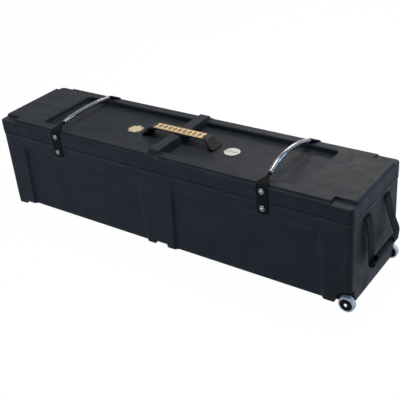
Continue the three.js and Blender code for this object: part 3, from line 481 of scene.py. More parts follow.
def shell(outer, loops, inner, faceUp):
    # a closed shell: an outer and an inner patch joined round their borders by the loops between them
    rows, columns = outer.shape[:2]
    count = rows * columns
    border = borderOrder(rows, columns)
    ring = len(border)
    quads = gridQuads(rows, columns)
    last = count + len(loops) * ring
    starts = [border] + [count + k * ring + np.arange(ring) for k in range(len(loops))] + [last + border]
    faces = [quads, quads[:, ::-1] + last]
    for upper, lower in zip(starts[:-1], starts[1:]):
        faces.append(np.stack([lower, np.roll(lower, -1), np.roll(upper, -1), upper], 1))
    faces = np.concatenate(faces)
    points = np.concatenate([outer.reshape(-1, 3), *loops, inner.reshape(-1, 3)])
    return points, faces if faceUp else faces[:, ::-1]


def fillet(fromOffset, toOffset, fromHeight, toHeight, steps, outwardFirst):
    # offsets and heights of a quarter round between two of a wall's edges
    angle = np.linspace(0, fullTurn / 4, steps + 1)
    s, c = np.sin(angle), 1 - np.cos(angle)
    a, b = (s, c) if outwardFirst else (c, s)
    return [(fromOffset + (toOffset - fromOffset) * p, fromHeight + (toHeight - fromHeight) * q)
            for p, q in zip(a, b)]


# Lid: in a grid's stops, each shift past a named place is in mm

lidLow, lidHigh = (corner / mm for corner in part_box("lid"))
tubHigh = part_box("tub")[1] / mm
case = dict(halfLength=lidHigh.x, halfWidth=lidHigh.y, corner=16, wall=5, seam=297, lidTop=349, floor=18)
lidShape = dict(bottom=lidLow.z, ledge=343, ledgeWidth=9, endLedge=3, recessLength=1003, recessWidth=240,
                recessDepth=17, recessRadius=16, recessSlope=3.5, notchX=606, notchY=123, notchTop=340,
                ribTop=18, ribBase=23, ribHigh=lidHigh.z, ribDrop=30, ribReach=159.5, ribNose=19,
                flareFrom=0.42, flareSlope=0.25, flareStart=4, flareEnd=14, fillet=4, reliefHalf=26,
                relief=13, reliefSlope=1.5, step=2.2, edge=3, edgeSteps=4, lowEdge=2.8, lowSteps=3,
                innerEdge=3, outsideShares=(0.3, 0.6, 0.9), insideShares=(0.5, 1.0))
lidStopsX = [("middle", 0, 3), ("ribTop", -2, 12), ("ribBase", 2, 6), ("ribBase", 14, 16),
             ("recessX", -18, 16), ("recessX", 1, 7), ("notchX", -1, 5), ("notchX", 3, 5), ("end", -15, 10),
             ("edgeX", 0, 0)]
lidStopsY = [("middle", 0, 3), ("relief", -3, 5), ("relief", 3, 7), ("recessY", -18, 16), ("recessY", 1, 6),
             ("notchY", 4, 6), ("side", -20, 9), ("side", -9, 8), ("edgeY", 0, 0)]


def lidHeight(x, y, grow):
    # the lid's top: a ledge round a plateau, a recess in it, notches in the corners and a rib across it;
    # grow widens what is sunk and narrows what stands, for the inner skin
    s = lidShape
    plateau = insideBox(x, y, case["halfLength"] - s["endLedge"], case["halfWidth"] - s["ledgeWidth"],
                        case["corner"])
    height = s["ledge"] + (case["lidTop"] - s["ledge"]) * ease(-s["step"] / 4, s["step"], plateau - grow)
    recess = insideBox(x, y, s["recessLength"] / 2 + grow, s["recessWidth"] / 2 + grow,
                       s["recessRadius"] + grow)
    height = height - s["recessDepth"] * ease(0, s["recessSlope"], recess)
    notch = np.minimum(np.abs(x) - (s["notchX"] - grow), np.abs(y) - (s["notchY"] - grow))
    height = height + ease(0, s["step"], notch) * (np.minimum(height, s["notchTop"]) - height)
    # the rib's sides and noses slope down evenly from its top, and flare out where they meet the rim
    shoulder = (np.abs(x) - (s["ribTop"] - grow)) / (s["ribBase"] - s["ribTop"])
    nose = (np.abs(y) - (s["ribReach"] - s["ribNose"] - 2 * grow)) / s["ribNose"]
    fall = np.hypot(np.maximum(shoulder, 0), np.maximum(nose, 0))
    flared = np.minimum(fall, s["flareFrom"] + (fall - s["flareFrom"]) * s["flareSlope"])
    atRim = ease(s["flareStart"], s["flareEnd"], np.abs(y) - s["recessWidth"] / 2)
    rib = s["ribHigh"] - s["ribDrop"] * (fall + (flared - fall) * atRim)
    rib = rib - s["relief"] * ease(-s["reliefSlope"], s["reliefSlope"], s["reliefHalf"] + grow - np.abs(y))
    close = np.maximum(s["fillet"] - np.abs(rib - height), 0)
    return np.maximum(rib, height) + close ** 2 / (4 * s["fillet"])


def lidLines(inset, grow):
    # lines along and across the lid, close together where its top changes
    s = lidShape
    places = dict(middle=0, ribTop=s["ribTop"] - grow, ribBase=s["ribBase"] - grow,
                  recessX=s["recessLength"] / 2 + grow, recessY=s["recessWidth"] / 2 + grow,
                  notchX=s["notchX"] - grow, notchY=s["notchY"], relief=s["reliefHalf"] + grow,
                  end=case["halfLength"], side=case["halfWidth"], edgeX=case["halfLength"] - inset,
                  edgeY=case["halfWidth"] - inset)
    return mirrored(gridLines(lidStopsX, places)), mirrored(gridLines(lidStopsY, places))


def lidPatch(inset, grow):
    # the lid's top skin, or with grow the skin as far under it
    x, y = np.meshgrid(*lidLines(inset, grow), indexing="ij")
    x, y, _, _ = roundCorners(x, y, case["halfLength"] - inset, case["halfWidth"] - inset,
                              case["corner"] - inset)
    return np.stack([x, y, lidHeight(x, y, grow) - grow], -1)


def makeLid():
    # the top skin, loops of (offset inwards, height) down the outside and up the inside, and the inner skin
    s = lidShape
    wall, edge, low, bottom = case["wall"], s["edge"], s["lowEdge"], s["bottom"]
    innerInset = wall + s["innerEdge"]
    outer, inner = lidPatch(edge, 0), lidPatch(innerInset, wall)
    outline = borderOutline(*lidLines(edge, 0), case["halfLength"], case["halfWidth"], case["corner"], edge)
    border = borderOrder(*outer.shape[:2])
    top, under = (patch[..., 2].ravel()[border] for patch in (outer, inner))
    rows = fillet(edge, 0, top, top - edge, s["edgeSteps"], True)[1:]
    rows += [(0, top - edge + (bottom + low - top + edge) * t) for t in s["outsideShares"]]
    rows += fillet(0, low, bottom + low, bottom, s["lowSteps"], False)
    rows += [(wall - low / 2, bottom), (wall, bottom + low)]
    rows += [(wall, bottom + low + (under - s["innerEdge"] - bottom - low) * t) for t in s["insideShares"]]
    rows += fillet(wall, innerInset, under - s["innerEdge"], under, s["lowSteps"], False)[1:-1]
    points, faces = shell(outer, [outlineLoop(outline, *row) for row in rows], inner, True)
    makePiece("lid_shell", points, faces, shellPlastic, "lid", ["lid"], "black_shell")


makeLid()
print("lid made")


# Tub: levels and shares are given as (from, to, count)

tubShape = dict(halfLength=673.5, halfWidth=159.5, edge=5, edgeSteps=4, innerEdge=6, innerSteps=3,
                panelNear=62.5, panelFar=579, panelTop=250, panelFlare=10, panelDepth=9, panelSlope=12,
                evenShare=0.4, bendFrom=90, grooveHalf=25, grooveDepth=11, grooveSlope=1.2, axleX=659.5,
                axleZ=25, pocketRadius=39, pocketInner=139.5, pocketSlope=2, archSlope=1.6, flareWidth=27,
                flareLength=9, footNear=111.5, footFar=151.5, footSlope=2.5,
                footX=(-672.5, -668.8, -642.5, -628.5, -598.5, -578.5), footDepth=(0, 18, 18, 6, 6, 0),
                slotHalf=21, slotAt=66, slotZ=272, slotHeight=3, slotDepth=4, slotEdge=(-0.4, 0.6),
                bossX=650.5, bossNear=111.5, bossTop=34, flange=1.5, flangeLow=288, flangeFoot=(0.3, 0.2),
                flangeSoft=0.9, flangeBand=3, seamSoft=0.8, lipFoot=1, lipOut=5.5, lipIn=9.5,
                lipTop=tubHigh.z, lipSide=1.2, lipSoft=1.5, ledgeZ=292, ledgeSoft=0.6, ledgeDrop=0.5,
                ledgeFoot=3, sideLevels=[(23, 230, 9), (234, 252, 13), (256, 266, 3), (268, 276, 11),
                                         (282, 288, 2)],
                insideShares=[(0, 0.84, 7), (0.84, 0.92, 8), (0.96, 0.96, 1)])
tubStopsX = [("leftEnd", 0, 9), ("footDeep", -7.5, 4), ("footDeep", 2.5, 5), ("footShallow", 2.5, 3),
             ("footEnd", 0.5, 4), ("leftFar", -11, 20), ("leftFar", 16, 15), ("leftNear", -17, 18),
             ("leftNear", 12, 3), ("leftGroove", -2, 5), ("leftGroove", 2, 4), ("groove", -2, 5),
             ("groove", 2, 3), ("near", -12, 18), ("near", 17, 15), ("far", -16, 20), ("far", 11, 3),
             ("arch", -1, 10), ("arch", 6, 6), ("boss", 3.5, 9), ("rightEnd", 0, 0)]
tubStopsY = [("middle", 0, 3), ("slotNear", -1, 3), ("slotNear", 1, 5), ("slotFar", -1, 3),
             ("slotFar", 1, 3), ("footNear", -1, 4), ("footNear", 3, 6), ("pocket", -2, 8), ("pocket", 4, 3),
             ("footFar", -2, 6), ("side", 0, 0)]


def panelDent(x, z, grow):
    # how far the long side is pressed in: two panels with sloping borders, wider towards the underside
    s = tubShape
    drop = (s["panelTop"] - z) / (s["panelTop"] - case["floor"])
    near = s["panelNear"] - s["panelFlare"] * drop - grow
    far = s["panelFar"] + s["panelFlare"] * drop + grow
    edge = np.minimum(np.minimum(np.abs(x) - near, far - np.abs(x)), s["panelTop"] + grow - z)
    slope = np.clip(edge / s["panelSlope"], 0, 1)
    return s["panelDepth"] * (s["evenShare"] * slope + (1 - s["evenShare"]) * ease(0, 1, slope))


def slotDent(y, z):
    # how far the end wall is pressed in at the two slots that the pull webbing comes out of
    s = tubShape
    inSlot = np.minimum(s["slotHeight"] - np.abs(z - s["slotZ"]),
                        s["slotHalf"] - np.abs(np.abs(y) - s["slotAt"]))
    return s["slotDepth"] * ease(*s["slotEdge"], inSlot)


def tubUnder(x, y, grow):
    # the underside seen from below: a groove across the middle, an arch over each wheel and two stepped
    # feet at the other end; grow gives the inner skin, which has no feet but a boss behind each wheel
    s = tubShape
    groove = ease(-s["grooveSlope"], s["grooveSlope"], s["grooveHalf"] + grow - np.abs(x))
    height = case["floor"] + s["grooveDepth"] * groove
    reach = s["pocketRadius"] + grow
    across = np.clip((x - s["axleX"]) / reach, -1, 0)
    arch = s["axleZ"] + reach * np.sqrt(1 - across ** 2)
    flare = s["flareWidth"] * np.clip((x - (s["halfLength"] - s["flareLength"])) / s["flareLength"], 0, 1)
    beyond = np.abs(y) - (s["pocketInner"] - grow)
    if grow == 0:
        side = np.clip((beyond + flare) / (flare + s["pocketSlope"]), 0, 1)
    else:
        side = ease(-s["pocketSlope"], 0, beyond)
    inPocket = side * ease(0, s["archSlope"], x - (s["axleX"] - reach))
    height = height + inPocket * (arch - height)
    if grow == 0:
        inFoot = np.minimum(np.abs(y) - s["footNear"], s["footFar"] - np.abs(y))
        return height - np.interp(x, s["footX"], s["footDepth"]) * ease(0, s["footSlope"], inFoot)
    boss = ease(-s["pocketSlope"], 0, np.minimum(x - s["bossX"], np.abs(y) - s["bossNear"]))
    return height + boss * (np.maximum(height, s["bossTop"] - grow) - height)


def tubLines(inset, grow):
    # lines along and across the tub, close together where the underside and the sides change
    s = tubShape
    endX, endY = s["halfLength"] - inset, s["halfWidth"] - inset
    near, far, groove = s["panelNear"] - grow, s["panelFar"] + grow, s["grooveHalf"] + grow
    places = dict(leftEnd=-endX, footDeep=s["footX"][2], footShallow=s["footX"][3], footEnd=s["footX"][4],
                  leftFar=-far, leftNear=-near, leftGroove=-groove, groove=groove, near=near, far=far,
                  arch=s["axleX"] - s["pocketRadius"] - grow, boss=s["bossX"] - grow, rightEnd=endX,
                  middle=0, slotNear=s["slotAt"] - s["slotHalf"], slotFar=s["slotAt"] + s["slotHalf"],
                  footNear=s["footNear"] - grow, pocket=s["pocketInner"] - grow,
                  footFar=s["footFar"] - 2 * grow, side=endY)
    return gridLines(tubStopsX, places), mirrored(gridLines(tubStopsY, places))


def tubPatch(inset, grow):
    # the underside's skin, pulled in towards the panels beyond bendFrom, or with grow the skin over it
    s = tubShape
    x, y = np.meshgrid(*tubLines(inset, grow), indexing="ij")
    halfX, halfY = s["halfLength"] - inset, s["halfWidth"] - inset
    x, y, _, _ = roundCorners(x, y, halfX, halfY, case["corner"] - inset)
    bend = np.clip((np.abs(y) - s["bendFrom"]) / (halfY - s["bendFrom"]), 0, 1)
    shift = panelDent(x, case["floor"] + grow, grow) * bend
    return np.stack([x, y - np.sign(y) * shift, tubUnder(x, y, grow) + grow], -1)


def rimRows():
    # the tub's rim as (offset inwards, height): a proud flange, the seam, the upright lip and a ledge inside
    s, seam = tubShape, case["seam"]
    flange, low, lipTop, ledge = s["flange"], s["flangeLow"], s["lipTop"], s["ledgeZ"]
    footIn, footUp = s["flangeFoot"]
    return [(footIn - flange, low + footUp), (-flange, low + s["flangeSoft"]),
            (-flange, seam - s["flangeBand"]), (-flange, seam - s["seamSoft"]),
            (s["seamSoft"] - flange, seam), (s["lipOut"] - s["lipFoot"], seam),
            (s["lipOut"], seam + s["seamSoft"]),
            (s["lipOut"], lipTop - s["lipSoft"]), (s["lipOut"] + s["lipSide"], lipTop),
            (s["lipIn"] - s["lipSide"], lipTop), (s["lipIn"], lipTop - s["lipSoft"]),
            (s["lipIn"], ledge + s["ledgeSoft"]), (s["lipIn"] - s["ledgeSoft"], ledge),
            (case["wall"], ledge - s["ledgeDrop"])]


def makeTub():
    # the underside, loops up the outside, over the rim and down the inside, and the inner floor; a row is
    # (offset inwards, height, grow), and where it has a grow, the panels press it in
    s, wall = tubShape, case["wall"]
    edge, innerInset = s["edge"], wall + s["innerEdge"]
    outer, inner = tubPatch(edge, 0), tubPatch(innerInset, wall)
    outline = borderOutline(*tubLines(edge, 0), s["halfLength"], s["halfWidth"], case["corner"], edge)
    x, y, outX, outY = outline
    border = borderOrder(*outer.shape[:2])
    low, floor = (patch[..., 2].ravel()[border] for patch in (outer, inner))
    levels = spans(s["sideLevels"]).round(2)
    share = (levels - levels[0]) / (levels[-1] - levels[0])
    start, foot = low + edge, floor + s["innerEdge"]
    rows = [(*row, 0) for row in fillet(edge, 0, low, start, s["edgeSteps"], True)[1:-1]]
    rows += [(0, start + (s["flangeLow"] - start) * t, 0) for t in share]
    rows += [(*row, None) for row in rimRows()]
    inside = spans(s["insideShares"])[::-1]
    rows += [(wall, foot + (s["ledgeZ"] - s["ledgeFoot"] - foot) * t, wall) for t in inside]
    rows += [(*row, wall) for row in fillet(wall, innerInset, foot, floor, s["innerSteps"], False)[1:-1]]
    onSide, onEnd = np.abs(outY) > 0.999, np.abs(outX) > 0.999  # the straight stretches of the outline
    loops = []
    for offset, height, grow in rows:
        if grow is not None:
            offset = offset + panelDent(x, np.maximum(height, case["floor"]), grow) * onSide
        if grow == 0:
            offset = offset + slotDent(y, height) * onEnd
        loops.append(outlineLoop(outline, offset, height))
    points, faces = shell(outer, loops, inner, False)
    makePiece("tub_shell", points, faces, shellPlastic, "tub", ["tub"], "black_shell")


makeTub()
print("tub made")


# Straps: webbing and clear tubes

strap = dict(x={"left": -404, "right": 398}, rise={"left": 20, "right": 38}, width=38, thick=2.5, gap=0.3,
             core=10.6, gather=0.04, gathers=5, flatSquareness=8, tubeRadius=7.5, tubeWall=1.3, tubeRoll=0.3,
             tubeInset=6, tubeSteps=200, tubeEvery=3, front=119, back=123, endLift=12, crown=20,
             crownShare=0.78, lowEnd=253, frontLevels=(280, 310), backLevels=(310, 285), flatTop=338,
             turnIn=3, turnZ=346, rimLift=2.4, innerReach=14, innerLift=6, frontSteps=90, backSteps=120,
             frontFlat=(1, 2), backFlat=1, endTaper=0.35, endLength=7, hingeFrom=291.5, hingeTo=302.5,
             socketBar=266.5, socketFront=172, barLift=2, loopShares=((0.25, -0.5), (0.8, -0.4)),
             tongueLift=14)


def archStops(rise):
    # the tube's line over the lid, from the front to the back: (y, z)
    s, top = strap, case["lidTop"]
    shoulder = s["endLift"] + (rise - s["endLift"]) * s["crownShare"]
    return [(-s["front"], top + s["endLift"]), ((-s["front"] - s["crown"]) / 2, top + shoulder),
            (-s["crown"], top + rise), ((s["back"] - s["crown"]) / 2, top + shoulder),
            (s["back"], top + s["endLift"])]


def inPlane(x, stops):
    # (y, z) stops in the upright plane at x
    return np.array([(x, y, z) for y, z in stops], float)


def strapBand(path, flat, taper=1):
    # flat webbing where flat is 1, gathered into a round folded core where it is 0
    s = strap
    width = (s["core"] + (s["width"] - s["core"]) * flat) * taper
    thick = s["core"] + (s["thick"] - s["core"]) * flat ** 0.5
    return sweep(path, (1, 0, 0), width, thick, 2 + (s["flatSquareness"] - 2) * flat,
                 ripple=s["gather"] * (1 - flat), ripples=s["gathers"])


def makeStrap(name):
    # the hinge half from the tub over the front rim to the crown, the buckle half from the crown over the
    # back rim and round the socket's bar, and the clear tube along both
    s, top, x = strap, case["lidTop"], strap["x"][name]
    beside = case["halfWidth"] + s["gap"] + s["thick"] / 2
    rim = case["halfWidth"] - lidShape["ledgeWidth"]
    arch = archStops(s["rise"][name])
    overRim = [(beside - s["turnIn"], s["turnZ"]), (rim, top + s["rimLift"]),
               (rim - s["innerReach"], top + s["innerLift"])]

    front = [(-beside, z) for z in (s["lowEnd"], *s["frontLevels"], s["flatTop"])]
    front += [(-y, z) for y, z in overRim] + arch[:3]
    path = smoothPath(inPlane(x, front), s["frontSteps"])
    flat = 1 - ease(s["frontFlat"][0] - rim, -s["front"] - s["frontFlat"][1], path[:, 1])
    taper = 1 - s["endTaper"] * (1 - ease(0, s["endLength"], lengthAlong(path))) ** 2
    points, faces, uv = strapBand(path, flat, taper)
    hinge = makePiece(f"hinge_strap_{name}", points, faces, webbing, None, [f"hinge_webbing_{name}"],
                      "black_webbing", uv)
    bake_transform(hinge)

    loop, bar = s["socketFront"] - beside, s["socketBar"]
    back = arch[2:] + overRim[::-1] + [(beside, z) for z in (s["flatTop"], *s["backLevels"])]
    back += [(beside + s["gap"], bar + s["barLift"])]
    back += [(beside + loop * share, bar + loop * drop) for share, drop in s["loopShares"]]
    back += [(beside + loop, bar + lift) for lift in (s["barLift"], s["tongueLift"])]
    path = smoothPath(inPlane(x, back), s["backSteps"])
    points, faces, uv = strapBand(path, ease(s["back"] + s["backFlat"], rim, path[:, 1]))
    makePiece(f"buckle_strap_{name}", points, faces, webbing, "lid", [f"lid_webbing_{name}"],
              "black_webbing", uv)

    path = smoothPath(inPlane(x, arch), s["tubeSteps"])
    length = lengthAlong(path)
    path = path[(length > s["tubeInset"]) & (length < length[-1] - s["tubeInset"])][::s["tubeEvery"]]
    makePipe(f"clear_tube_{name}", path, [f"strap_tube_{name}"])


def makePipe(name, path, replaced, around=28):
    # a pipe along a path in an upright plane: out along the outside and back along the bore, ends rolled
    s, count = strap, len(path)
    side = np.array([1.0, 0, 0])
    normal = pathNormals(path, side)
    order = np.concatenate([np.arange(count), np.arange(count)[::-1]])
    radii = np.repeat([s["tubeRadius"], s["tubeRadius"] - s["tubeWall"]], count)
    radii[[0, count - 1]] -= s["tubeWall"] * s["tubeRoll"]
    radii[[count, -1]] += s["tubeWall"] * s["tubeRoll"]
    angle = np.linspace(0, fullTurn, around, endpoint=False)
    ring = np.cos(angle)[None, :, None] * side + np.sin(angle)[None, :, None] * normal[order][:, None]
    points = path[order][:, None] + ring * radii[:, None, None]
    faces = gridQuads(len(order), around, closeRows=True, closeColumns=True)
    makePiece(name, points.reshape(-1, 3), faces, hoseVinyl, "lid", replaced, "clear_tube")


for strapName in sides:
    makeStrap(strapName)
print("straps made")


# Rivets

rivet = dict(gap=0.2, cap=9.5, rim=1.2, lipWidth=1.6, lipRise=0.5, dome=5.2, domeGap=0.6, domeFoot=0.3,
             domeRise=2.4, domeStart=0.15, domeSteps=8, hollow=0.5, shank=2.6, length=9, soft=0.45,
             softSteps=3, lidZ=330, tubZ=274, anchorZ=120)


def rivetProfile():
    # a washer with a rolled edge, a shallow valley and a domed head in it, on a plain shank
    s = rivet
    foot = s["rim"] + s["domeFoot"]
    corners = [(s["shank"], -s["length"]), (s["shank"], 0), (s["cap"], 0), (s["cap"], s["rim"]),
               (s["cap"] - s["lipWidth"], s["rim"] + s["lipRise"]),
               (s["dome"] + s["domeGap"], foot - s["hollow"]), (s["dome"], foot)]
    dome = domeProfile(s["dome"], foot, s["domeRise"], s["domeStart"], s["domeSteps"])
    return np.concatenate([roundedProfile(corners, s["soft"], s["softSteps"]), dome])


def makeRivets():
    # each cap sits on its webbing, which lies on the case's side or in the panel
    over = strap["gap"] + strap["thick"] + rivet["gap"]
    onSide = case["halfWidth"] + over
    inPanel = tubShape["halfWidth"] - tubShape["panelDepth"] + over
    for name in sides:
        for node, side, face, z, body in ((f"hinge_lid_rivet_{name}", -1, onSide, rivet["lidZ"], "lid"),
                                          (f"hinge_tub_rivet_{name}", -1, onSide, rivet["tubZ"], "tub"),
                                          (f"buckle_lid_rivet_{name}", 1, onSide, rivet["lidZ"], "lid"),
                                          (f"buckle_tub_rivet_{name}", 1, inPanel, rivet["anchorZ"], "tub")):
            turned(f"{node}_cap", rivetProfile(), (strap["x"][name], side * face, z), (0, side, 0), zinc, 48,
                   body=body, replaced=[node], slot="zinc_steel")


makeRivets()
print("rivets made")


# Carry handle and badges

handle = dict(gripHalf=112, gripWidth=40, gripEnd=4, gripSwell=1, top=366.2, under=359.7, shoulder=135,
              shoulderZ=343, legInner=101, legFoot=118, legZ=344, footStart=121, footEnd=142, footWidth=55,
              footWaist=134, footLow=332.3, footHigh=337.3, sole=128, tipFrom=7, tipTo=2, tipTaper=0.3,
              squareness=5, around=40, smoothing=(0.1, 0.2, 0.4, 0.2, 0.1))
handleStops = [("middle", 0, 14), ("legInner", -8, 14), ("gripHalf", 6, 14), ("sole", 4, 12),
               ("footEnd", 0, 0)]
strip = dict(length=190, width=35, low=365.7, thick=1.2, corner=3, cornerPoints=7, edge=0.5, edgeSteps=4,
             lowEdge=0.2)
badge = dict(x={"left": -188, "right": 195}, radius=27, low=332.3, edge=0.5, side=(0.4, 0.9), lip=0.6,
             lipHigh=1.35, rim=4, high=1.5, around=72)


def makeHandle():
    # sections along X between an upper and a lower line, each a squared-off oval; the upper line is smoothed
    s = handle
    x = mirrored(gridLines(handleStops, dict(s, middle=0)))
    reach = np.abs(x)
    up = np.interp(reach, [0, s["gripHalf"], s["shoulder"], s["footEnd"]],
                   [s["top"], s["top"], s["shoulderZ"], s["footHigh"]])
    up = np.convolve(np.pad(up, len(s["smoothing"]) // 2, mode="edge"), s["smoothing"], mode="valid")
    down = np.interp(reach, [0, s["legInner"], s["legFoot"], s["footStart"], s["footEnd"]],
                     [s["under"], s["under"], s["legZ"], s["footLow"], s["footLow"]])
    width = np.interp(reach, [0, s["gripHalf"] - s["gripEnd"], s["footWaist"], s["footEnd"]],
                      [s["gripWidth"], s["gripWidth"] + s["gripSwell"], s["footWidth"] - s["gripSwell"],
                       s["footWidth"]])
    tip = ease(s["footEnd"] - s["tipFrom"], s["footEnd"] + s["tipTo"], reach)
    width = width * (1 - s["tipTaper"] * tip ** 2)
    y, z = squaredOval(np.linspace(0, fullTurn, s["around"], endpoint=False), s["squareness"])
    y, z = y * width[:, None] / 2, (up + down)[:, None] / 2 + z * (up - down)[:, None] / 2
    points = np.stack([np.broadcast_to(x[:, None], y.shape), y, z], -1)
    makePiece("carry_handle_bridge", points.reshape(-1, 3), tubeFaces(len(x), s["around"]), handleNylon,
              "lid", ["carry_handle"], "dark_moulding")


def makeStrip():
    # rings of a rounded rectangle: lower edge, side, softened upper edge, and flat top and bottom
    s = strip
    halfX, halfY, radius, edge = s["length"] / 2, s["width"] / 2, s["corner"], s["edge"]
    high = s["low"] + s["thick"]
    angle = np.linspace(0, fullTurn / 4, s["cornerPoints"]) + fullTurn / 4 * np.arange(4)[:, None]
    out = np.stack([np.cos(angle), np.sin(angle)], -1)
    middles = np.array([(1, 1), (-1, 1), (-1, -1), (1, -1)]) * (halfX - radius, halfY - radius)
    out, outline = out.reshape(-1, 2), (middles[:, None] + out * radius).reshape(-1, 2)
    levels = [(s["lowEdge"], s["low"]), (0, s["low"] + s["lowEdge"]),
              *fillet(0, edge, high - edge, high, s["edgeSteps"], False)]
    rings = [np.column_stack([outline - out * offset, np.full(len(outline), z)]) for offset, z in levels]
    makePiece("grip_strip", np.concatenate(rings), tubeFaces(len(rings), len(outline)), goldStrip, "lid",
              ["carry_handle_inlay"], "gold_trim")


def makeBadges():
    # flat discs with a soft upper edge
    s = badge
    radius, high = s["radius"], s["high"]
    profile = [(axisRadius, 0), (radius - s["edge"], 0), *((radius, z) for z in s["side"]),
               (radius - s["lip"], s["lipHigh"]), (radius - s["rim"], high), (radius / 2, high),
               (axisRadius, high)]
    for name, material, slot in (("left", goldBadge, "gold_trim"), ("right", whiteBadge, "white_trim")):
        turned(f"round_badge_{name}", profile, (s["x"][name], 0, s["low"]), (0, 0, 1), material, s["around"],
               body="lid", replaced=[f"badge_{name}"], slot=slot)


makeHandle()
makeStrip()
makeBadges()
print("handle and badges made")


# Pull handles: a leg's stops are (distance from the wall, drop below its slot)

pull = dict(drop=143, reach=26, width=36, thick=3, squareness=8, grip=9.8, turn=8.6, turnAngle=1.25 * np.pi,
            turnSteps=22, hang=3, hangSteps=60, gripGap=0.5, gripEdge=(1, 1.5), gripSoft=1.5, gripSteps=4,
            gripAround=40, straight=[(-3.4, 0), (2.1, 0), (7, 12), (12, 40), (15.5, 80), (17, 115)],
            slack=[(-3.4, 0), (2.1, 0), (6, 12), (11, 34), (25, 80), (36.5, 112)])


def pullLeg(end, side):
    # one leg of webbing: out of its slot, down, and over half way round the grip; one leg hangs straight
    # and turns under the grip from the wall's side, the slack one bulges and turns under it from outside
    s = pull
    angle = np.linspace(0, s["turnAngle"], s["turnSteps"])
    if side * end < 0:
        stops, angle, inner = s["straight"], np.pi + angle, s["reach"] - s["turn"]
    else:
        stops, angle, inner = s["slack"], -angle, s["reach"] + s["turn"]
    hanging = smoothPath([*stops, (inner, s["drop"] - s["hang"])], s["hangSteps"])
    turn = np.stack([s["reach"] + s["turn"] * np.cos(angle), s["drop"] - s["turn"] * np.sin(angle)], -1)
    path = np.concatenate([hanging, turn])
    return np.stack([end * (tubShape["halfLength"] + path[:, 0]),
                     np.full(len(path), side * tubShape["slotAt"]), tubShape["slotZ"] - path[:, 1]], -1)


def makePull(name, end):
    # two legs joined in one piece, and a round grip through their turns
    s = pull
    points, faces, uv = [], [], []
    for side in (-1, 1):
        legPoints, legFaces, legUv = sweep(pullLeg(end, side), (0, -end, 0), s["width"], s["thick"],
                                           s["squareness"])
        offset = sum(len(part) for part in points)
        points.append(legPoints)
        uv.append(legUv)
        faces += [[index + offset for index in face] for face in legFaces]
    makePiece(f"pull_straps_{name}", np.concatenate(points), faces, webbing, f"pull_{name}",
              [f"pull_webbing_{name}"], "black_webbing", np.concatenate(uv))
    half, radius = tubShape["slotAt"] - s["width"] / 2 - s["gripGap"], s["grip"]
    edgeIn, edgeAlong = s["gripEdge"]
    upper = [(radius, half - edgeAlong), (radius - edgeIn, half), (axisRadius, half)]
    profile = [(r, -h) for r, h in upper[::-1]] + [(radius, 0)] + upper
    centre = (end * (tubShape["halfLength"] + s["reach"]), 0, tubShape["slotZ"] - s["drop"])
    turned(f"pull_tube_{name}", roundedProfile(profile, s["gripSoft"], s["gripSteps"]), centre, (0, 1, 0),
           gripRubber, s["gripAround"], body=f"pull_{name}", replaced=[f"pull_grip_{name}"],
           slot="black_grip")


for pullName, pullEnd in sides.items():
    makePull(pullName, pullEnd)
print("pull handles made")


# Wheels: profiles are (radius, distance from the wheel's middle plane)

wheel = dict(radius=25, width=20, outer=162, hub=19, fit=0.2, bead=1.8, beadOut=1.2, beadIn=0.8,
             shoulderOut=3.4, shoulderIn=3, tyreSoft=1.6, tyreSteps=4, hubInset=1.5, hubLip=0.4,
             hubRim=(1.2, 2.6), boss=(1.2, 2.4), bossIn=0.6, dish=3.2, hole=4.3, hubSoft=0.8, hubSteps=3,
             cap=5.6, capSeat=0.3, capFoot=1, capRise=3.5, capStart=0.1, capSteps=9, axle=4, axleEnd=117.5,
             axleSoft=0.4, axleSteps=3)


def ringProfile(middleRadius, upper, lower, soft, steps):
    # a closed ring profile that starts and ends on the middle plane inside, with lower's heights below it
    corners = [(middleRadius, 0), *upper, *((r, -h) for r, h in lower[::-1]), (middleRadius, 0)]
    profile = roundedProfile(corners, soft, steps)[:-1]
    return profile + (0, wheel["outer"] - wheel["width"] / 2)


def hubCorners(face, bossFace):
    # one side of the hub: bore, boss, dished web, rim and lip
    s = wheel
    bossEnd, webStart = (s["cap"] + reach for reach in s["boss"])
    rimTop, webEnd = (s["hub"] - reach for reach in s["hubRim"])
    return [(s["hole"], bossFace), (bossEnd, bossFace), (webStart, face - s["dish"]),
            (webEnd, face - s["dish"]), (rimTop, face), (s["hub"], face - s["hubLip"])]


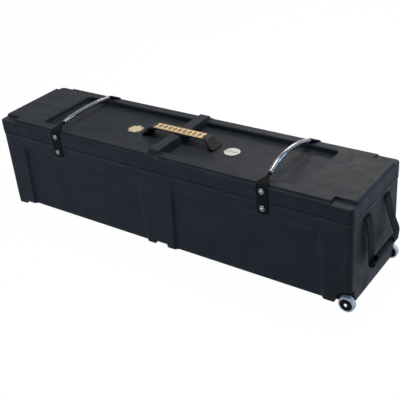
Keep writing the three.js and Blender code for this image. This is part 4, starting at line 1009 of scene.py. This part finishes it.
def makeWheel(name, side):
    # a tyre round a dished hub, and an axle whose domed cap stands out of the hub
    s = wheel
    centre, axis = (tubShape["axleX"], 0, tubShape["axleZ"]), (0, side, 0)
    half, inside = s["width"] / 2, s["hub"] + s["fit"]
    rubber = [(inside, half - s["bead"]), (s["hub"] + s["beadOut"], half - s["beadIn"]),
              (s["radius"] - s["shoulderOut"], half), (s["radius"], half - s["shoulderIn"])]
    turned(f"tyre_{name}", ringProfile(inside, rubber, rubber, s["tyreSoft"], s["tyreSteps"]), centre, axis,
           tyreRubber, 96, closed=True, body=f"wheel_{name}", replaced=[f"wheel_tyre_{name}"],
           slot="grey_tyre")
    face = half - s["hubInset"]
    hub = ringProfile(s["hole"], hubCorners(face, face - s["bossIn"]), hubCorners(face, face), s["hubSoft"],
                      s["hubSteps"])
    turned(f"hub_{name}", hub, centre, axis, hubNylon, 72, closed=True, body=f"wheel_{name}",
           replaced=[f"wheel_hub_{name}"], slot="dark_moulding")
    seat = s["outer"] - s["hubInset"] + s["capSeat"]
    pin = [(axisRadius, s["axleEnd"]), (s["axle"], s["axleEnd"]), (s["axle"], seat), (s["cap"], seat),
           (s["cap"], seat + s["capFoot"])]
    dome = domeProfile(s["cap"], seat + s["capFoot"], s["capRise"] - s["capFoot"], s["capStart"],
                       s["capSteps"])
    axle = np.concatenate([roundedProfile(pin, s["axleSoft"], s["axleSteps"]), dome])
    turned(f"axle_{name}", axle, centre, axis, brightZinc, 56, body="tub", replaced=[f"wheel_axle_{name}"],
           slot="zinc_steel")


makeWheel("front", -1)
makeWheel("back", 1)
print("wheels made")


# Solids that keep their shape: copied, cleaned of doubled points and given soft edges; each family has its
# body, material and slot, and its bevel's radius in mm and steps

soft = dict(merge=0.01, flatAngle=1, edgeAngle=35)  # mm, degrees and degrees
softSolids = (("buckle_socket", "lid", buckleNylon, "dark_moulding", 1.6, 3),
              ("buckle_clip", "clip", buckleNylon, "dark_moulding", 1.2, 3),
              ("carry_handle_fixing", "lid", zinc, "zinc_steel", 0.4, 2),
              ("pull_plate", "tub", zinc, "zinc_steel", 0.5, 2),
              ("pull_root", "tub", webbing, "black_webbing", 0.8, 2),
              ("anchor_webbing", "tub", webbing, "black_webbing", 0.7, 2),
              ("tail_webbing", "clip", webbing, "black_webbing", 0.7, 2),
              ("wheel_spacer", "tub", hubNylon, "dark_moulding", 0.6, 2))


def soften(node, body, material, slot, radius, steps):
    # the solid's own mesh without its doubled points and flat edges, and a bevel of a radius in mm
    work = bmesh.new()
    work.from_mesh(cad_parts[node].data)
    bmesh.ops.remove_doubles(work, verts=work.verts, dist=soft["merge"] * mm)
    bmesh.ops.dissolve_limit(work, angle_limit=math.radians(soft["flatAngle"]), verts=work.verts,
                             edges=work.edges)
    mesh = bpy.data.meshes.new(f"{node}_soft")
    work.to_mesh(mesh)
    work.free()
    piece = addPiece(f"{node}_soft", mesh, material, body, [node])
    bevel = piece.modifiers.new("soft edges", "BEVEL")
    bevel.width = radius * mm
    bevel.segments = steps
    bevel.limit_method = "ANGLE"
    bevel.angle_limit = math.radians(soft["edgeAngle"])
    bevel.harden_normals = True


for endName in (*sides, "front", "back"):
    for family, rider, *rest in softSolids:
        if f"{family}_{endName}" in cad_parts:
            soften(f"{family}_{endName}", f"clip_{endName}" if rider == "clip" else rider, *rest)
for nodeName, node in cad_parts.items():
    if "washer" in nodeName:
        node.data.materials.clear()
        node.data.materials.append(zinc)
print("small solids finished")


# Light, floor and camera: the studio is in metres and watts, the camera in mm and degrees

studio = dict(worldGlow=0.13, airColour=(0.72, 0.86, 1, 1), floorSize=16.0, floorGlow=0.985,
              paper=(0.9, 0.9, 0.9, 1),
              lamps=(dict(name="overhead", place=(0.5, 0.4, 2.6), aim=(0.1, 0, 0.2), size=(1.3, 1.1),
                          power=86, colour=(1, 0.93, 0.86)),
                     dict(name="back", place=(-0.4, 2.5, 2.0), aim=(0.2, 0, 0.3), size=(1.4, 1.0),
                          power=31, colour=(1, 0.93, 0.86)),
                     dict(name="right end", place=(2.4, 1.3, 0.3), aim=(0.65, 0, 0.17), size=(1.2, 0.5),
                          power=34, colour=(0.26, 0.6, 1)),
                     dict(name="front fill", place=(-0.7, -2.5, 0.3), aim=(0.2, 0, 0.06), size=(1.6, 0.8),
                          power=44, colour=(0.6, 0.78, 1))))


def seenRays(tree):
    # 1 for rays from the camera, in reflections and through the clear tubes, 0 for light on the case
    path = addNode(tree, "LightPath", {}).outputs
    first = addNode(tree, "Math", [path["Is Camera Ray"], path["Is Glossy Ray"]], operation="MAXIMUM")
    return addNode(tree, "Math", [first, path["Is Transmission Ray"]], operation="MAXIMUM")


def makeWorld():
    # dim bluish air that looks white
    world = bpy.data.worlds.new("studio air")
    bpy.context.scene.world = world
    tree = emptyTree(world)
    dim = addNode(tree, "Background", {"Color": studio["airColour"], "Strength": studio["worldGlow"]})
    white = addNode(tree, "Background", {"Color": (1, 1, 1, 1), "Strength": 1.0})
    mix = addNode(tree, "MixShader", [seenRays(tree), dim, white])
    addNode(tree, "OutputWorld", {"Surface": mix})


def makeFloor():
    # white studio paper: it glows for the camera and in reflections, and keeps a faint shadow
    material = bpy.data.materials.new("studio paper")
    tree = emptyTree(material)
    share = addNode(tree, "Math", [seenRays(tree), studio["floorGlow"]], operation="MULTIPLY")
    paper = addNode(tree, "BsdfDiffuse", {"Color": studio["paper"]})
    glow = addNode(tree, "Emission", {"Color": (1, 1, 1, 1), "Strength": 1.0})
    mix = addNode(tree, "MixShader", [share, paper, glow])
    addNode(tree, "OutputMaterial", {"Surface": mix})
    half = studio["floorSize"] / 2
    mesh = bpy.data.meshes.new("studio_floor")
    mesh.from_pydata([(-half, -half, 0), (half, -half, 0), (half, half, 0), (-half, half, 0)], [],
                     [(0, 1, 2, 3)])
    mesh.materials.append(material)
    addObject("studio_floor", mesh)


def makeLamps():
    # soft rectangular lamps, each turned from its place to its aim
    for lamp in studio["lamps"]:
        light = bpy.data.lights.new(lamp["name"], "AREA")
        light.shape = "RECTANGLE"
        light.size, light.size_y = lamp["size"]
        light.energy = lamp["power"]
        light.color = lamp["colour"]
        item = addObject(lamp["name"], light)
        item.location = lamp["place"]
        ahead = Vector(lamp["aim"]) - Vector(lamp["place"])
        item.rotation_euler = ahead.to_track_quat("-Z", "Y").to_euler()


view = dict(azimuth=37.601, elevation=30.297, roll=-5.402, distance=2602.3, slide=(47.74, -55.01),
            target=(0, 0, 172), focalPixels=785.07, framePixels=400, sensor=36, clipEnd=100)


def makeCamera():
    # the camera looks along a turned and raised line, rolls about it and slides in its own plane
    azimuth, elevation, roll = (math.radians(view[key]) for key in ("azimuth", "elevation", "roll"))
    ahead = Vector((-math.sin(azimuth) * math.cos(elevation), math.cos(azimuth) * math.cos(elevation),
                    -math.sin(elevation)))
    level = Vector((math.cos(azimuth), math.sin(azimuth), 0))
    upright = level.cross(ahead)
    right = math.cos(roll) * level + math.sin(roll) * upright
    up = math.cos(roll) * upright - math.sin(roll) * level
    place = Vector(view["target"]) - ahead * view["distance"] + right * view["slide"][0]
    place = place + up * view["slide"][1]
    data = bpy.data.cameras.new("studio camera")
    data.sensor_width = view["sensor"]
    data.lens = view["focalPixels"] / view["framePixels"] * view["sensor"]
    data.clip_end = view["clipEnd"]
    camera = addObject("studio camera", data)
    turn = Matrix((right, up, -ahead)).transposed().to_4x4()
    camera.matrix_world = Matrix.Translation(place * mm) @ turn
    bpy.context.scene.camera = camera


makeWorld()
makeFloor()
makeLamps()
makeCamera()
bpy.context.scene.view_settings.view_transform = "Standard"
print("studio ready")
